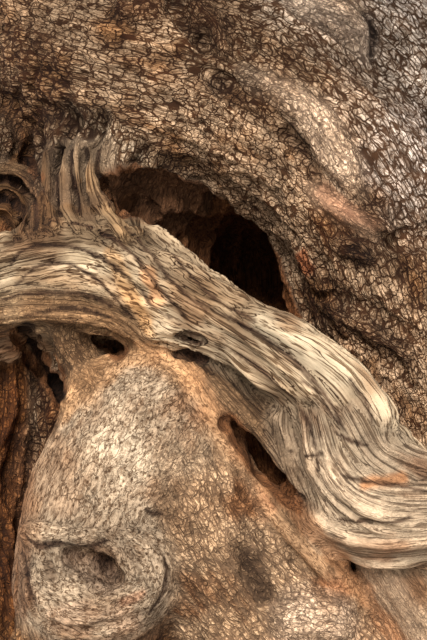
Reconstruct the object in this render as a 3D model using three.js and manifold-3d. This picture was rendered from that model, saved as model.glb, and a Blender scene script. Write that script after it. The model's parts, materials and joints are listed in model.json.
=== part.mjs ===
// An ancient olive tree: a hollow, gnarled trunk of grown-together strands, crooked boughs and
// masses of narrow leaves. Millimetres, +Z up, front towards -Y. The origin is the middle of the
// flat cut under the trunk, at ground level.
import * as THREE from "three";
import { mergeVertices } from "three/addons/utils/BufferGeometryUtils.js";
import Module from "manifold-3d";

const wasm = await Module();
wasm.setup();

// Driving dimensions.
const SEAT_GAP = 0.45; // running gap between two pieces of wood that meet
const MASS_GAP = 0.3; // least gap between a limb and a foliage mass
const STRAND_BLEND = 60; // width of the fillet where two strands have grown together
const CAVITY_BLEND = 40; // rounding of the hollow's rim
const TRUNK_SIDES = 45;
const TRUNK_ROWS = 23;
const TRUNK_SHOULDER_HEIGHT = 1800; // above this the trunk closes over as a dome
const TRUNK_AXIS = { x: -20, y: 20 };
const CROWN_REACH = 1950; // from the trunk's axis to the middle of an outer foliage mass
const OUTER_MASSES = 6;
const INNER_MASSES = 5;

// Colours, as seen on the bark, the bare wood and the leaves.
const BARK = { color: 0x8a6f55, roughness: 0.95, metalness: 0 };
const BARE_WOOD = { color: 0xb39a7c, roughness: 0.85, metalness: 0 };
const BURL_BARK = { color: 0x9a8470, roughness: 0.9, metalness: 0 };
const LEAF = { color: 0x6d7a55, roughness: 0.6, metalness: 0 };

// Strands are named centre lines. Each point is [x, y, z, radius].
const CORE = [
  [0, 40, -200, 700],
  [0, 30, 300, 580],
  [-20, 20, 1000, 520],
  [-40, 20, 1600, 540],
  [-20, 0, 1850, 480],
];

const BARK_STRANDS = {
  arch: [
    [-560, 560, 900, 230],
    [-640, 450, 1400, 215],
    [-720, 140, 1790, 225],
    [-640, -210, 1760, 250],
    [-405, -445, 1650, 235],
    [-160, -490, 1570, 250],
    [75, -535, 1380, 225],
    [195, -515, 1120, 225],
    [315, -460, 805, 240],
    [410, -430, 455, 260],
    [470, -500, -60, 300],
  ],
  brow: [
    [-420, 480, 1800, 220],
    [-650, 130, 2010, 225],
    [-410, -340, 1990, 235],
    [-40, -430, 1890, 230],
    [225, -460, 1700, 230],
    [415, -405, 1375, 235],
    [570, -300, 895, 245],
    [700, -330, 300, 250],
    [820, -430, -60, 260],
  ],
  shoulder: [
    [-360, -620, 735, 160],
    [-265, -605, 560, 185],
    [-120, -595, 380, 195],
    [30, -600, 170, 215],
    [120, -660, -80, 250],
  ],
  smooth_root: [
    [135, -665, 570, 95],
    [180, -690, 500, 100],
    [245, -700, 400, 100],
    [335, -710, 220, 120],
    [400, -760, -60, 170],
  ],
  prop: [
    [-610, -555, 1075, 45],
    [-565, -570, 955, 50],
    [-525, -595, 855, 45],
  ],
  flank: [
    [-790, -260, 1500, 130],
    [-815, -310, 1100, 118],
    [-815, -320, 845, 125],
    [-850, -335, 590, 115],
    [-800, -350, 310, 140],
    [-860, -420, -60, 210],
  ],
  foot: [
    [-500, -570, 420, 190],
    [-520, -600, 210, 220],
    [-560, -680, -60, 260],
  ],
};

const WEATHERED_STRAND = [
  [-930, -250, 1000, 100],
  [-800, -430, 1085, 140],
  [-640, -510, 1135, 150],
  [-480, -575, 1150, 142],
  [-330, -655, 1090, 100],
  [-190, -715, 1010, 76],
  [-65, -745, 930, 86],
  [30, -760, 825, 102],
  [110, -735, 680, 135],
  [285, -645, 575, 135],
];

const LOWER_BAND = [
  [-310, -645, 1000, 50],
  [-235, -680, 918, 58],
  [-150, -700, 828, 62],
  [-78, -722, 728, 60],
  [-47, -730, 640, 55],
  [0, -720, 545, 48],
];

const BURL = [
  [-395, -585, 780, 205],
  [-495, -630, 595, 190],
  [-510, -640, 480, 180],
];

const EYE = { x: -490, y: -805, z: 520, ring: 80, lip: 45, steps: 10 }; // knot hole's raised lip

const CAVITIES = [
  [
    [-500, -330, 1330, 120],
    [-330, -300, 1270, 165],
    [-183, -300, 1190, 170],
    [-93, -310, 1076, 125],
  ],
  [
    [-240, -330, 1230, 130],
    [-134, -130, 1176, 140],
  ],
  [
    [-760, -500, 1080, 45],
    [-690, -520, 960, 40],
    [-610, -540, 830, 40],
  ],
  [
    [-190, -570, 790, 50],
    [-110, -560, 690, 60],
    [-40, -560, 620, 45],
  ],
];

// The far side and the right flank: strands that rise round the core, each leaning the same way.
const FAR_STRANDS = { count: 8, from: -22, to: 176, lean: 34, radius: 215, flare: 1.3 };

// The mouth of the hollow, cut from the strands too, so that the arch overhangs it.
const MOUTH = [
  [
    [-456, -590, 1354, 54],
    [-406, -575, 1340, 58],
    [-315, -530, 1320, 62],
    [-229, -475, 1290, 62],
    [-175, -465, 1240, 60],
    [-137, -470, 1142, 58],
    [-101, -479, 1059, 54],
  ],
  [
    [-450, -540, 1297, 60],
    [-373, -520, 1244, 76],
    [-293, -420, 1224, 90],
    [-210, -380, 1200, 100],
    [-146, -400, 1098, 70],
  ],
];
const MOUTH_BLEND = 12;

const LIMB_SIDES = 8;

// Foliage: each mass has a stem, side twigs shared out over an ellipsoid, and broad blades that
// each stand for a spray of leaves.
const MASS_RADIUS = 1140;
const MASS_HEIGHT = 900; // half of its height
const MASS_MARGIN = 0.07; // least gap between two masses, as a share of their size
const SIDE_TWIGS = 11;
const FORK = { spread: 52, jitter: 12 }; // degrees between a twig and each of its side blades
const BLADE = { length: 475, width: 275, thickness: 16 };
const TWIG_CLEARANCE = 30; // least way from a twig's line to a limb's skin
const SPRAY_CLEARANCE = 75; // the same for the middle line of a spray
const SHORTER_TWIG = 0.62; // share of its length that a twig keeps where its full reach isn't free
const STEM_TIP_RADIUS = 16;
const TWIG_RADIUS = 15;
const TWIG_TIP_RADIUS = 7;
const GOLDEN_ANGLE = Math.PI * (3 - Math.sqrt(5));

const vec = (x, y, z) => new THREE.Vector3(x, y, z);
const mix = (a, b, t) => a + (b - a) * t;
const radians = (degrees) => (degrees * Math.PI) / 180;

// A seeded die: the same throws in the same order on every run.
function makeDice(seed) {
  let state = seed >>> 0;
  const next = () => {
    state = (Math.imul(state, 1664525) + 1013904223) >>> 0;
    return state / 4294967296;
  };
  return { next, between: (low, high) => low + (high - low) * next() };
}

// A strand's points, made smooth: a list of {p, r} along a Catmull-Rom curve.
function smoothPath(points, perSpan) {
  const places = new THREE.CatmullRomCurve3(
    points.map(([x, y, z]) => vec(x, y, z)),
    false,
    "centripetal",
  );
  const spans = points.length - 1;
  const path = [];
  for (let i = 0; i <= spans * perSpan; i++) {
    const at = i / perSpan;
    const span = Math.min(Math.floor(at), spans - 1);
    const r = mix(points[span][3], points[span + 1][3], at - span);
    path.push({ p: places.getPoint(at / spans), r });
  }
  return path;
}

// Distance from a place to the skin of a strand, negative inside it.
function strandDistance(x, y, z, path) {
  let best = Infinity;
  for (let i = 0; i + 1 < path.length; i++) {
    const { p: a, r: ra } = path[i];
    const { p: b, r: rb } = path[i + 1];
    const dx = b.x - a.x;
    const dy = b.y - a.y;
    const dz = b.z - a.z;
    const along = (x - a.x) * dx + (y - a.y) * dy + (z - a.z) * dz;
    const t = Math.min(1, Math.max(0, along / (dx * dx + dy * dy + dz * dz)));
    const gap = Math.hypot(x - a.x - t * dx, y - a.y - t * dy, z - a.z - t * dz) - mix(ra, rb, t);
    if (gap < best) best = gap;
  }
  return best;
}

function smoothMin(a, b, k) {
  const h = Math.max(k - Math.abs(a - b), 0) / k;
  return Math.min(a, b) - h * h * k * 0.25;
}

// The strands of the right flank and the back, worked out round the core.
function farStrands() {
  const dice = makeDice(11);
  const made = [];
  for (let k = 0; k < FAR_STRANDS.count; k++) {
    const share = k / (FAR_STRANDS.count - 1);
    const start = mix(FAR_STRANDS.from, FAR_STRANDS.to, share) + dice.between(-5, 5);
    const girth = FAR_STRANDS.radius * dice.between(0.85, 1.15);
    const points = [];
    for (const [z, reach, swell] of [
      [-60, 860, FAR_STRANDS.flare],
      [350, 670, 1.05],
      [900, 590, 0.9],
      [1450, 590, 1],
      [1900, 480, 1],
    ]) {
      const angle = radians(start + (FAR_STRANDS.lean * z) / 1000 + dice.between(-4, 4));
      const out = reach * dice.between(0.94, 1.06);
      points.push([out * Math.cos(angle), out * Math.sin(angle), z, girth * swell]);
    }
    made.push(points);
  }
  return made;
}

const corePath = smoothPath(CORE, 4);
const cavityPaths = CAVITIES.map((points) => smoothPath(points, 4));
const mouthPaths = MOUTH.map((points) => smoothPath(points, 2));
const strandPaths = [...Object.values(BARK_STRANDS), ...farStrands()].map((points) =>
  smoothPath(points, 5),
);

// The trunk's skin, negative inside: a hollowed core with the strands grown on to it.
function trunkDistance(x, y, z) {
  let d = strandDistance(x, y, z, corePath);
  for (const cavity of cavityPaths) {
    d = -smoothMin(-d, strandDistance(x, y, z, cavity), CAVITY_BLEND);
  }
  for (const path of strandPaths) {
    d = smoothMin(d, strandDistance(x, y, z, path), STRAND_BLEND);
  }
  for (const path of mouthPaths) {
    d = -smoothMin(-d, strandDistance(x, y, z, path), MOUTH_BLEND);
  }
  return d;
}

// First place where a ray that comes in towards `middle` meets the trunk's skin.
function skinAlong(middle, direction, field) {
  const far = 1700;
  const near = 60;
  let outer = far;
  let inner = far;
  while (inner > near) {
    const p = middle.clone().addScaledVector(direction, inner);
    const d = field(p.x, p.y, p.z);
    if (d < 0) break;
    outer = inner;
    inner -= Math.max(d * 0.8, 6);
  }
  for (let i = 0; i < 14; i++) {
    const half = (outer + inner) / 2;
    const p = middle.clone().addScaledVector(direction, half);
    if (field(p.x, p.y, p.z) < 0) inner = half;
    else outer = half;
  }
  return middle.clone().addScaledVector(direction, inner);
}

// A closed skin from rings of equal length, with a fan at each end.
function skinFromRings(rings, first, last) {
  const sides = rings[0].length;
  const places = [...rings.flat(), first, last];
  const faces = [];
  for (let j = 0; j + 1 < rings.length; j++) {
    for (let i = 0; i < sides; i++) {
      const a = j * sides + i;
      const b = j * sides + ((i + 1) % sides);
      faces.push(a, b, b + sides, a, b + sides, a + sides);
    }
  }
  const foot = places.length - 2;
  const top = places.length - 1;
  const lastRing = (rings.length - 1) * sides;
  for (let i = 0; i < sides; i++) {
    const next = (i + 1) % sides;
    faces.push(foot, next, i, top, lastRing + i, lastRing + next);
  }
  const geometry = new THREE.BufferGeometry();
  geometry.setAttribute(
    "position",
    new THREE.Float32BufferAttribute(places.flatMap((p) => [p.x, p.y, p.z]), 3),
  );
  geometry.setIndex(faces);
  return geometry;
}

function solidOf(geometry) {
  const bare = geometry.clone();
  bare.deleteAttribute("normal");
  bare.deleteAttribute("uv");
  const merged = mergeVertices(bare, 1e-3);
  return new wasm.Manifold(
    new wasm.Mesh({
      numProp: 3,
      vertProperties: merged.attributes.position.array,
      triVerts: new Uint32Array(merged.index.array),
    }),
  );
}

function geometryOf(solid) {
  const mesh = solid.getMesh();
  const geometry = new THREE.BufferGeometry();
  const places = new Float32Array(mesh.numVert * 3);
  for (let i = 0; i < mesh.numVert; i++) {
    places.set(mesh.vertProperties.subarray(i * mesh.numProp, i * mesh.numProp + 3), i * 3);
  }
  geometry.setAttribute("position", new THREE.BufferAttribute(places, 3));
  geometry.setIndex(new THREE.BufferAttribute(mesh.triVerts, 1));
  geometry.computeVertexNormals();
  return geometry;
}

// The biggest body of a solid: what a cut leaves loose is dropped.
const biggest = (solid) => solid.decompose().sort((a, b) => b.volume() - a.volume())[0];

// The trunk in rings: level rays from the axis, then rays that tilt up over the fork.
function trunkSolid(grow) {
  const skin = (x, y, z) => trunkDistance(x, y, z) - grow;
  const ringAt = (z, tilt) => {
    const ring = [];
    for (let i = 0; i < TRUNK_SIDES; i++) {
      const turn = (2 * Math.PI * i) / TRUNK_SIDES;
      const level = Math.cos(tilt);
      const ray = vec(Math.cos(turn) * level, Math.sin(turn) * level, Math.sin(tilt));
      ring.push(skinAlong(vec(TRUNK_AXIS.x, TRUNK_AXIS.y, z), ray, skin));
    }
    return ring;
  };
  const rings = [];
  for (let j = 0; j <= TRUNK_ROWS; j++) {
    rings.push(ringAt((TRUNK_SHOULDER_HEIGHT * j) / TRUNK_ROWS, 0));
  }
  for (const tilt of [9, 19, 31, 46, 65]) rings.push(ringAt(TRUNK_SHOULDER_HEIGHT, radians(tilt)));
  const crownTop = skinAlong(
    vec(TRUNK_AXIS.x, TRUNK_AXIS.y, TRUNK_SHOULDER_HEIGHT),
    vec(0, 0, 1),
    skin,
  );
  return solidOf(skinFromRings(rings, vec(TRUNK_AXIS.x, TRUNK_AXIS.y, 0), crownTop));
}

// A tapering round limb along a path, `grow` thicker all over, with flat ends.
function tube(path, sides, grow = 0) {
  let side = vec(0.31, 0.87, 0.38);
  const middles = [];
  const rings = path.map(({ p, r }, i) => {
    const before = path[Math.max(i - 1, 0)].p;
    const after = path[Math.min(i + 1, path.length - 1)].p;
    const ahead = after.clone().sub(before).normalize();
    side = side.clone().addScaledVector(ahead, -side.dot(ahead)).normalize();
    const up = ahead.clone().cross(side);
    const push = i === 0 ? -grow : i === path.length - 1 ? grow : 0;
    const middle = p.clone().addScaledVector(ahead, push);
    middles.push(middle);
    const ring = [];
    for (let k = 0; k < sides; k++) {
      const turn = (2 * Math.PI * k) / sides;
      const out = side.clone().multiplyScalar(Math.cos(turn)).addScaledVector(up, Math.sin(turn));
      ring.push(middle.clone().addScaledVector(out, r + grow));
    }
    return ring;
  });
  return skinFromRings(rings, middles[0], middles[middles.length - 1]);
}

// A rounded body seen from its middle: rays out over a sphere, met by a field of its own.
function burlSolid(grow) {
  const lobes = [smoothPath(BURL, 4)];
  const lip = [];
  for (let k = 0; k <= EYE.steps; k++) {
    const turn = (2 * Math.PI * k) / EYE.steps;
    const place = vec(EYE.x + EYE.ring * Math.cos(turn), EYE.y, EYE.z + EYE.ring * Math.sin(turn));
    lip.push({ p: place, r: EYE.lip });
  }
  lobes.push(lip);
  const pit = [
    { p: vec(EYE.x, EYE.y - 120, EYE.z), r: 34 },
    { p: vec(EYE.x + 10, EYE.y + 40, EYE.z), r: 28 },
  ];
  const field = (x, y, z) => {
    let d = strandDistance(x, y, z, lobes[0]);
    d = smoothMin(d, strandDistance(x, y, z, lobes[1]), STRAND_BLEND);
    return Math.max(d, -strandDistance(x, y, z, pit)) - grow;
  };
  const middle = vec(-470, -620, 640);
  const sides = 20;
  const rows = 14;
  const rings = [];
  for (let j = 1; j < rows; j++) {
    const tilt = -Math.PI / 2 + (Math.PI * j) / rows;
    const ring = [];
    for (let i = 0; i < sides; i++) {
      const turn = (2 * Math.PI * i) / sides;
      const level = Math.cos(tilt);
      const ray = vec(Math.cos(turn) * level, Math.sin(turn) * level, Math.sin(tilt));
      ring.push(skinAlong(middle, ray, field));
    }
    rings.push(ring);
  }
  const foot = skinAlong(middle, vec(0, 0, -1), field);
  const top = skinAlong(middle, vec(0, 0, 1), field);
  return solidOf(skinFromRings(rings, foot, top));
}

// Middles of the foliage masses: an outer ring, an inner ring higher up, and one on top.
function massPlaces() {
  const dice = makeDice(5);
  const places = [];
  for (let k = 0; k < OUTER_MASSES; k++) {
    const turn = radians(20 + (360 * k) / OUTER_MASSES + dice.between(-7, 7));
    const out = CROWN_REACH * dice.between(0.95, 1.08);
    const z = 3250 + dice.between(-150, 200);
    places.push({ c: vec(out * Math.cos(turn), out * Math.sin(turn), z), ring: "outer", turn });
  }
  for (let k = 0; k < INNER_MASSES; k++) {
    const turn = radians(52 + (360 * k) / INNER_MASSES + dice.between(-8, 8));
    const out = CROWN_REACH * 0.58 * dice.between(0.92, 1.1);
    const z = 4400 + dice.between(-150, 180);
    places.push({ c: vec(out * Math.cos(turn), out * Math.sin(turn), z), ring: "inner", turn });
  }
  places.push({ c: vec(60, 80, 5080), ring: "top", turn: 0 });
  for (const place of places) place.swell = dice.between(0.92, 1.08);
  return places;
}

// The crooked line of a limb from one place to another: it sets off one way and bends to the next.
function crookedLine(from, setOff, to, radii, bend, dice) {
  const length = from.distanceTo(to);
  const points = [];
  for (let i = 0; i < radii.length; i++) {
    const t = i / (radii.length - 1);
    const straight = from.clone().lerp(to, t);
    const lift = setOff.clone().multiplyScalar(length * 0.8 * t * (1 - t) * (1 - t));
    const stray = i === 0 || i === radii.length - 1 ? 0 : bend;
    const jog = vec(dice.between(-1, 1), dice.between(-1, 1), dice.between(-1, 1));
    const place = straight.add(lift).addScaledVector(jog, stray);
    points.push([place.x, place.y, place.z, radii[i]]);
  }
  return points;
}

// Every limb: an outer bough to each outer mass, and a higher one from it to each inner mass.
function growLimbs(places) {
  const dice = makeDice(23);
  const limbs = [];
  const entry = (place, from) =>
    place.c.clone().add(from.clone().sub(place.c).setLength(MASS_RADIUS * 0.52 * place.swell));
  for (const place of places.filter((q) => q.ring === "outer")) {
    const k = limbs.length;
    const out = vec(Math.cos(place.turn), Math.sin(place.turn), 0);
    const from = out.clone().multiplyScalar(360).add(vec(TRUNK_AXIS.x, TRUNK_AXIS.y, 1620));
    const to = entry(place, from.clone().add(vec(0, 0, 600)));
    const setOff = out.clone().multiplyScalar(0.1).add(vec(0, 0, 1));
    const radii = [250, 225, 185, 145, 110, 78];
    const points = crookedLine(from, setOff, to, radii, 75, dice);
    limbs.push({ name: `bough_${k + 1}`, points, place, parent: null });
  }
  const upper = places.filter((q) => q.ring !== "outer");
  for (const [k, place] of upper.entries()) {
    const nearest = limbs
      .slice(0, OUTER_MASSES)
      .filter((q) => !q.taken)
      .sort((a, b) => turnGap(a.place, place) - turnGap(b.place, place))[0];
    if (nearest) nearest.taken = true;
    const parent = nearest;
    const line = smoothPath(parent.points, 6);
    const root = line[Math.round(line.length * 0.42)];
    const to = entry(place, root.p);
    const setOff = vec(0, 0, 1);
    const thick = root.r * 0.72;
    const radii = [thick, thick * 0.86, thick * 0.72, thick * 0.58, 60];
    const points = crookedLine(root.p.clone(), setOff, to, radii, 70, dice);
    limbs.push({ name: `upper_bough_${k + 1}`, points, place, parent });
  }
  return limbs;
}

function turnGap(a, b) {
  if (b.ring === "top") return 0;
  const gap = Math.abs(a.turn - b.turn) % (2 * Math.PI);
  return Math.min(gap, 2 * Math.PI - gap);
}

// How far a place is from a mass's middle, where 1 is its skin.
function massShare(p, place) {
  const wide = MASS_RADIUS * place.swell;
  const high = MASS_HEIGHT * place.swell;
  return Math.hypot((p.x - place.c.x) / wide, (p.y - place.c.y) / wide, (p.z - place.c.z) / high);
}

// True where a place lies in its own mass's space and touches no limb.
function isFree(p, place, places, limbs, clearance) {
  const own = massShare(p, place);
  if (own > 1.02) return false;
  for (const other of places) {
    if (other !== place && massShare(p, other) < own + MASS_MARGIN) return false;
  }
  for (const limb of limbs) {
    if (strandDistance(p.x, p.y, p.z, limb.path) < clearance) return false;
  }
  return true;
}

// A blade of eight faces from its root, `ahead`, lying across `side`.
function blade(root, ahead, side, size) {
  const face = ahead.clone().cross(side).normalize();
  const middle = root.clone().addScaledVector(ahead, size.length * 0.45);
  const corners = [
    root,
    root.clone().addScaledVector(ahead, size.length),
    middle.clone().addScaledVector(side, size.width / 2),
    middle.clone().addScaledVector(side, -size.width / 2),
    middle.clone().addScaledVector(face, size.thickness / 2),
    middle.clone().addScaledVector(face, -size.thickness / 2),
  ];
  const geometry = new THREE.BufferGeometry();
  geometry.setAttribute(
    "position",
    new THREE.Float32BufferAttribute(corners.flatMap((p) => [p.x, p.y, p.z]), 3),
  );
  geometry.setIndex([0, 4, 2, 4, 1, 2, 0, 3, 4, 3, 1, 4, 0, 2, 5, 2, 1, 5, 0, 5, 3, 5, 1, 3]);
  return solidOf(geometry);
}

// Side twigs of a mass: each leaves the stem and bends out to its share of the ellipsoid.
function growTwigs(place, stem, dice) {
  const twigs = [];
  const spin = dice.between(0, 2 * Math.PI);
  for (let i = 0; i < SIDE_TWIGS; i++) {
    const level = 1 - (2 * (i + 0.5)) / SIDE_TWIGS;
    const around = spin + i * GOLDEN_ANGLE;
    const flat = Math.sqrt(1 - level * level);
    const out = vec(flat * Math.cos(around), flat * Math.sin(around), level);
    const reach = 0.6 * place.swell * dice.between(0.9, 1.1);
    const tip = place.c
      .clone()
      .add(vec(out.x * MASS_RADIUS, out.y * MASS_RADIUS, out.z * MASS_HEIGHT).multiplyScalar(reach));
    const rise = 0.25 + 0.35 * (1 - Math.abs(level)) + 0.35 * Math.max(level, 0);
    const root = stem[Math.round((stem.length - 1) * rise)];
    const knee = root.p.clone().lerp(tip, 0.5).add(vec(0, 0, 60 * dice.between(0.4, 1.2)));
    twigs.push({ root: root.p, knee, tip, out });
  }
  return twigs;
}

// The sprays of a twig: one that carries it on, and two that fork off to opposite sides.
function growSprays(twig, dice) {
  const on = twig.tip.clone().sub(twig.knee).normalize();
  const flat = on.clone().cross(vec(0.2, 0.1, 1)).normalize();
  const fork = dice.between(0, Math.PI);
  return [0, 1, 2].map((b) => {
    const turn = fork + b * Math.PI;
    const side = flat.clone().applyAxisAngle(on, turn);
    const open = b === 0 ? 0 : radians(FORK.spread + dice.between(-FORK.jitter, FORK.jitter));
    const heading = on.clone().multiplyScalar(Math.cos(open)).addScaledVector(side, Math.sin(open));
    const across = on.clone().cross(side).addScaledVector(side, b === 0 ? 0.6 : 0);
    across.addScaledVector(heading, -across.dot(heading)).normalize();
    across.applyAxisAngle(heading, dice.between(-0.7, 0.7));
    const share = [0.97, 0.72, 0.3][b];
    const root = twig.knee.clone().lerp(twig.tip, share);
    const length = BLADE.length * dice.between(0.85, 1.08);
    return { root, heading, across, length };
  });
}

// One foliage mass as a solid: stem, twigs and blades fused together.
function massSolid(place, limb, places, limbs, seed) {
  const dice = makeDice(seed);
  const end = limb.path[limb.path.length - 1];
  const before = limb.path[limb.path.length - 2];
  const ahead = end.p.clone().sub(before.p).normalize();
  const foot = end.p.clone().addScaledVector(ahead, SEAT_GAP);
  const heart = place.c.clone().add(vec(0, 0, -0.05 * MASS_HEIGHT));
  const top = place.c.clone().add(vec(0, 0, 0.5 * MASS_HEIGHT * place.swell));
  const start = foot.clone().addScaledVector(ahead, 90);
  const stemPoints = [
    [foot.x, foot.y, foot.z, end.r],
    [start.x, start.y, start.z, end.r * 0.82],
    [heart.x, heart.y, heart.z, end.r * 0.5],
    [top.x, top.y, top.z, STEM_TIP_RADIUS],
  ];
  const stem = smoothPath(stemPoints, 2);
  stem[1].p = foot.clone().lerp(start, 0.5); // the first stretch is straight, off the limb's end
  const parts = [solidOf(tube(stem, 5))];
  const isClear = ({ root, knee, tip }) =>
    [root.clone().lerp(knee, 0.45), knee, knee.clone().lerp(tip, 0.5), tip].every((p) =>
      isFree(p, place, places, limbs, TWIG_CLEARANCE),
    );
  for (const twig of growTwigs(place, stem, dice)) {
    if (!isClear(twig)) {
      twig.tip = twig.root.clone().lerp(twig.tip, SHORTER_TWIG);
      twig.knee = twig.root.clone().lerp(twig.tip, 0.5);
    }
    const sprays = growSprays(twig, dice);
    if (!isClear(twig)) continue;
    const line = [
      { p: twig.root, r: TWIG_RADIUS },
      { p: twig.knee, r: mix(TWIG_RADIUS, TWIG_TIP_RADIUS, 0.5) },
      { p: twig.tip, r: TWIG_TIP_RADIUS },
    ];
    parts.push(solidOf(tube(line, 3)));
    for (const spray of sprays) {
      const checks = [0.4, 0.7, 1].map((t) =>
        spray.root.clone().addScaledVector(spray.heading, spray.length * t),
      );
      if (!checks.every((p) => isFree(p, place, places, limbs, SPRAY_CLEARANCE))) continue;
      parts.push(blade(spray.root, spray.heading, spray.across, { ...BLADE, length: spray.length }));
    }
  }
  let mass = wasm.Manifold.union(parts);
  for (const other of limbs) mass = mass.subtract(other.cutter);
  return biggest(mass);
}

// The whole tree, put together.
const tree = new THREE.Group();
tree.name = "olive_tree";

function addPiece(name, solid, finish) {
  const mesh = new THREE.Mesh(geometryOf(solid), new THREE.MeshStandardMaterial(finish));
  mesh.name = name;
  tree.add(mesh);
}

const weathered = smoothPath(WEATHERED_STRAND, 2);
const band = smoothPath(LOWER_BAND, 2);
const weatheredSolid = solidOf(tube(weathered, 12));
const bandSolid = solidOf(tube(band, 9)).subtract(solidOf(tube(weathered, 12, SEAT_GAP)));
const burl = burlSolid(0)
  .subtract(solidOf(tube(weathered, 12, SEAT_GAP)))
  .subtract(solidOf(tube(band, 9, SEAT_GAP)));
const trunk = biggest(
  trunkSolid(0)
    .subtract(solidOf(tube(weathered, 12, SEAT_GAP)))
    .subtract(solidOf(tube(band, 9, SEAT_GAP)))
    .subtract(burlSolid(SEAT_GAP)),
);
addPiece("trunk", trunk, BARK);
addPiece("weathered_strand", biggest(weatheredSolid), BARE_WOOD);
addPiece("lower_band", biggest(bandSolid), BARK);
addPiece("burl", biggest(burl), BURL_BARK);

const places = massPlaces();
const limbs = growLimbs(places);
for (const limb of limbs) limb.path = smoothPath(limb.points, 2).filter((_, i) => i !== 1 && i !== 3);

const trunkCutter = trunkSolid(SEAT_GAP); // each bough sits just clear of the trunk
const grownLimbs = [];
for (const limb of limbs) {
  let solid = solidOf(tube(limb.path, LIMB_SIDES)).subtract(trunkCutter);
  for (const earlier of grownLimbs) solid = solid.subtract(earlier);
  grownLimbs.push(solidOf(tube(limb.path, LIMB_SIDES, SEAT_GAP)));
  addPiece(limb.name, biggest(solid), BARK);
}

for (const limb of limbs) limb.cutter = solidOf(tube(limb.path, LIMB_SIDES, MASS_GAP));
for (const [k, limb] of limbs.entries()) {
  const solid = massSolid(limb.place, limb, places, limbs, 101 + k);
  addPiece(`foliage_${k + 1}`, solid, LEAF);
}

export default tree;
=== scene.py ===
"""An ancient olive tree: hollow, gnarled trunk, crooked boughs and masses of narrow leaves.

Sizes are in millimetres until the meshes are made. +Z is up and the front faces -Y.
"""

import json
import math
from concurrent.futures import ThreadPoolExecutor

import bpy
import numpy as np
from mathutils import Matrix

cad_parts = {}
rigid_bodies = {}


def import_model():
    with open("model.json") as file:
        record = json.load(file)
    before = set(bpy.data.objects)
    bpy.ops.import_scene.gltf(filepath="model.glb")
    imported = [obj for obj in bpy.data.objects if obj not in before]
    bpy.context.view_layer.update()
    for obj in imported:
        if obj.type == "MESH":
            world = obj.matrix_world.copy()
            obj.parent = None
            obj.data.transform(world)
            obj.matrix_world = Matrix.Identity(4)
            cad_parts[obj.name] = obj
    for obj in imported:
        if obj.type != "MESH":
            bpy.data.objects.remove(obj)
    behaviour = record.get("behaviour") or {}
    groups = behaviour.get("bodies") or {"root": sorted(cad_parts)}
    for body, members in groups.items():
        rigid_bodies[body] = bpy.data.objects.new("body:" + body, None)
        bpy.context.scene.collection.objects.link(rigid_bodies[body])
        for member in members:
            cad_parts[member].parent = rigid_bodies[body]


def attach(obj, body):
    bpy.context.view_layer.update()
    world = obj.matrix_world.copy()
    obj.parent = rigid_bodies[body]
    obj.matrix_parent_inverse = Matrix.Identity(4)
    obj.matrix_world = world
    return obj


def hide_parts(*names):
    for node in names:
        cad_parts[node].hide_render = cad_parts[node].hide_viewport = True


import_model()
for thing in list(bpy.data.objects):  # what an empty Blender file starts with
    if thing.name in ("Cube", "Light", "Camera"):
        bpy.data.objects.remove(thing)
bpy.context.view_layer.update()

# Camera: places seen in the photograph's frame
FRAME_WIDTH, FRAME_HEIGHT = 427, 640
CAMERA = np.array([-250.0, -2900.0, 1050.0])
LENS, SENSOR = 56.25, 36.0

# Driving sizes of the wood
STRAND_BLEND = 60.0  # fillet where two strands have grown together
CAVITY_BLEND = 40.0
LIMB_BLEND, BURL_BLEND, BAND_BLEND, WEATHERED_BLEND = 110.0, 90.0, 16.0, 12.0
KNOB_BLEND, ROT_BLEND = 60.0, 16.0
STRAND_STEPS = 4  # straight steps to a span of a strand
STRAND_REACH = 120  # how far past its skin a strand's box goes, so as to hold its fillets
LOOK_REACH = 60  # how far from its skin a strand can still give the wood its look
STRAND_SHIFT = 1000  # between the patterns of one strand and the next, along them
FAR_AWAY = 400.0  # the field where no strand is near
MIX_REACH, CREASE_SHADE_REACH = 26, 22  # how far two strands' looks mix, and how wide the painted shade in their crease is
# How far the looks of the far sides, the slit, the cracks and the hollow take over. The looks
# of the slit and the cracks are painted shade.
FAR_SHARE, SLIT_SHADE_SHARE, CRACK_SHADE_SHARE, HOLLOW_SHARE = 0.85, 0.94, 0.92, 0.9
RIB_HEIGHT = 16  # of the ribs in the hollow
FRONT = -150  # the tints are only laid on what lies further forward than this y
FINE_CELL, COARSE_CELL = 6.0, 17.0
BLOCK = 8  # cells to a block's side when the skin is searched for
MESH_FACES = 95000  # a mesh with more four-sided faces is made in two halves
THREADS, SLICE, BLOCK_SLICE = 4, 20000, 300  # and about how many places or blocks each takes
EASING = (0.6, 0.4)  # shares of the way to the neighbours' mean, one pass after the other

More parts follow.
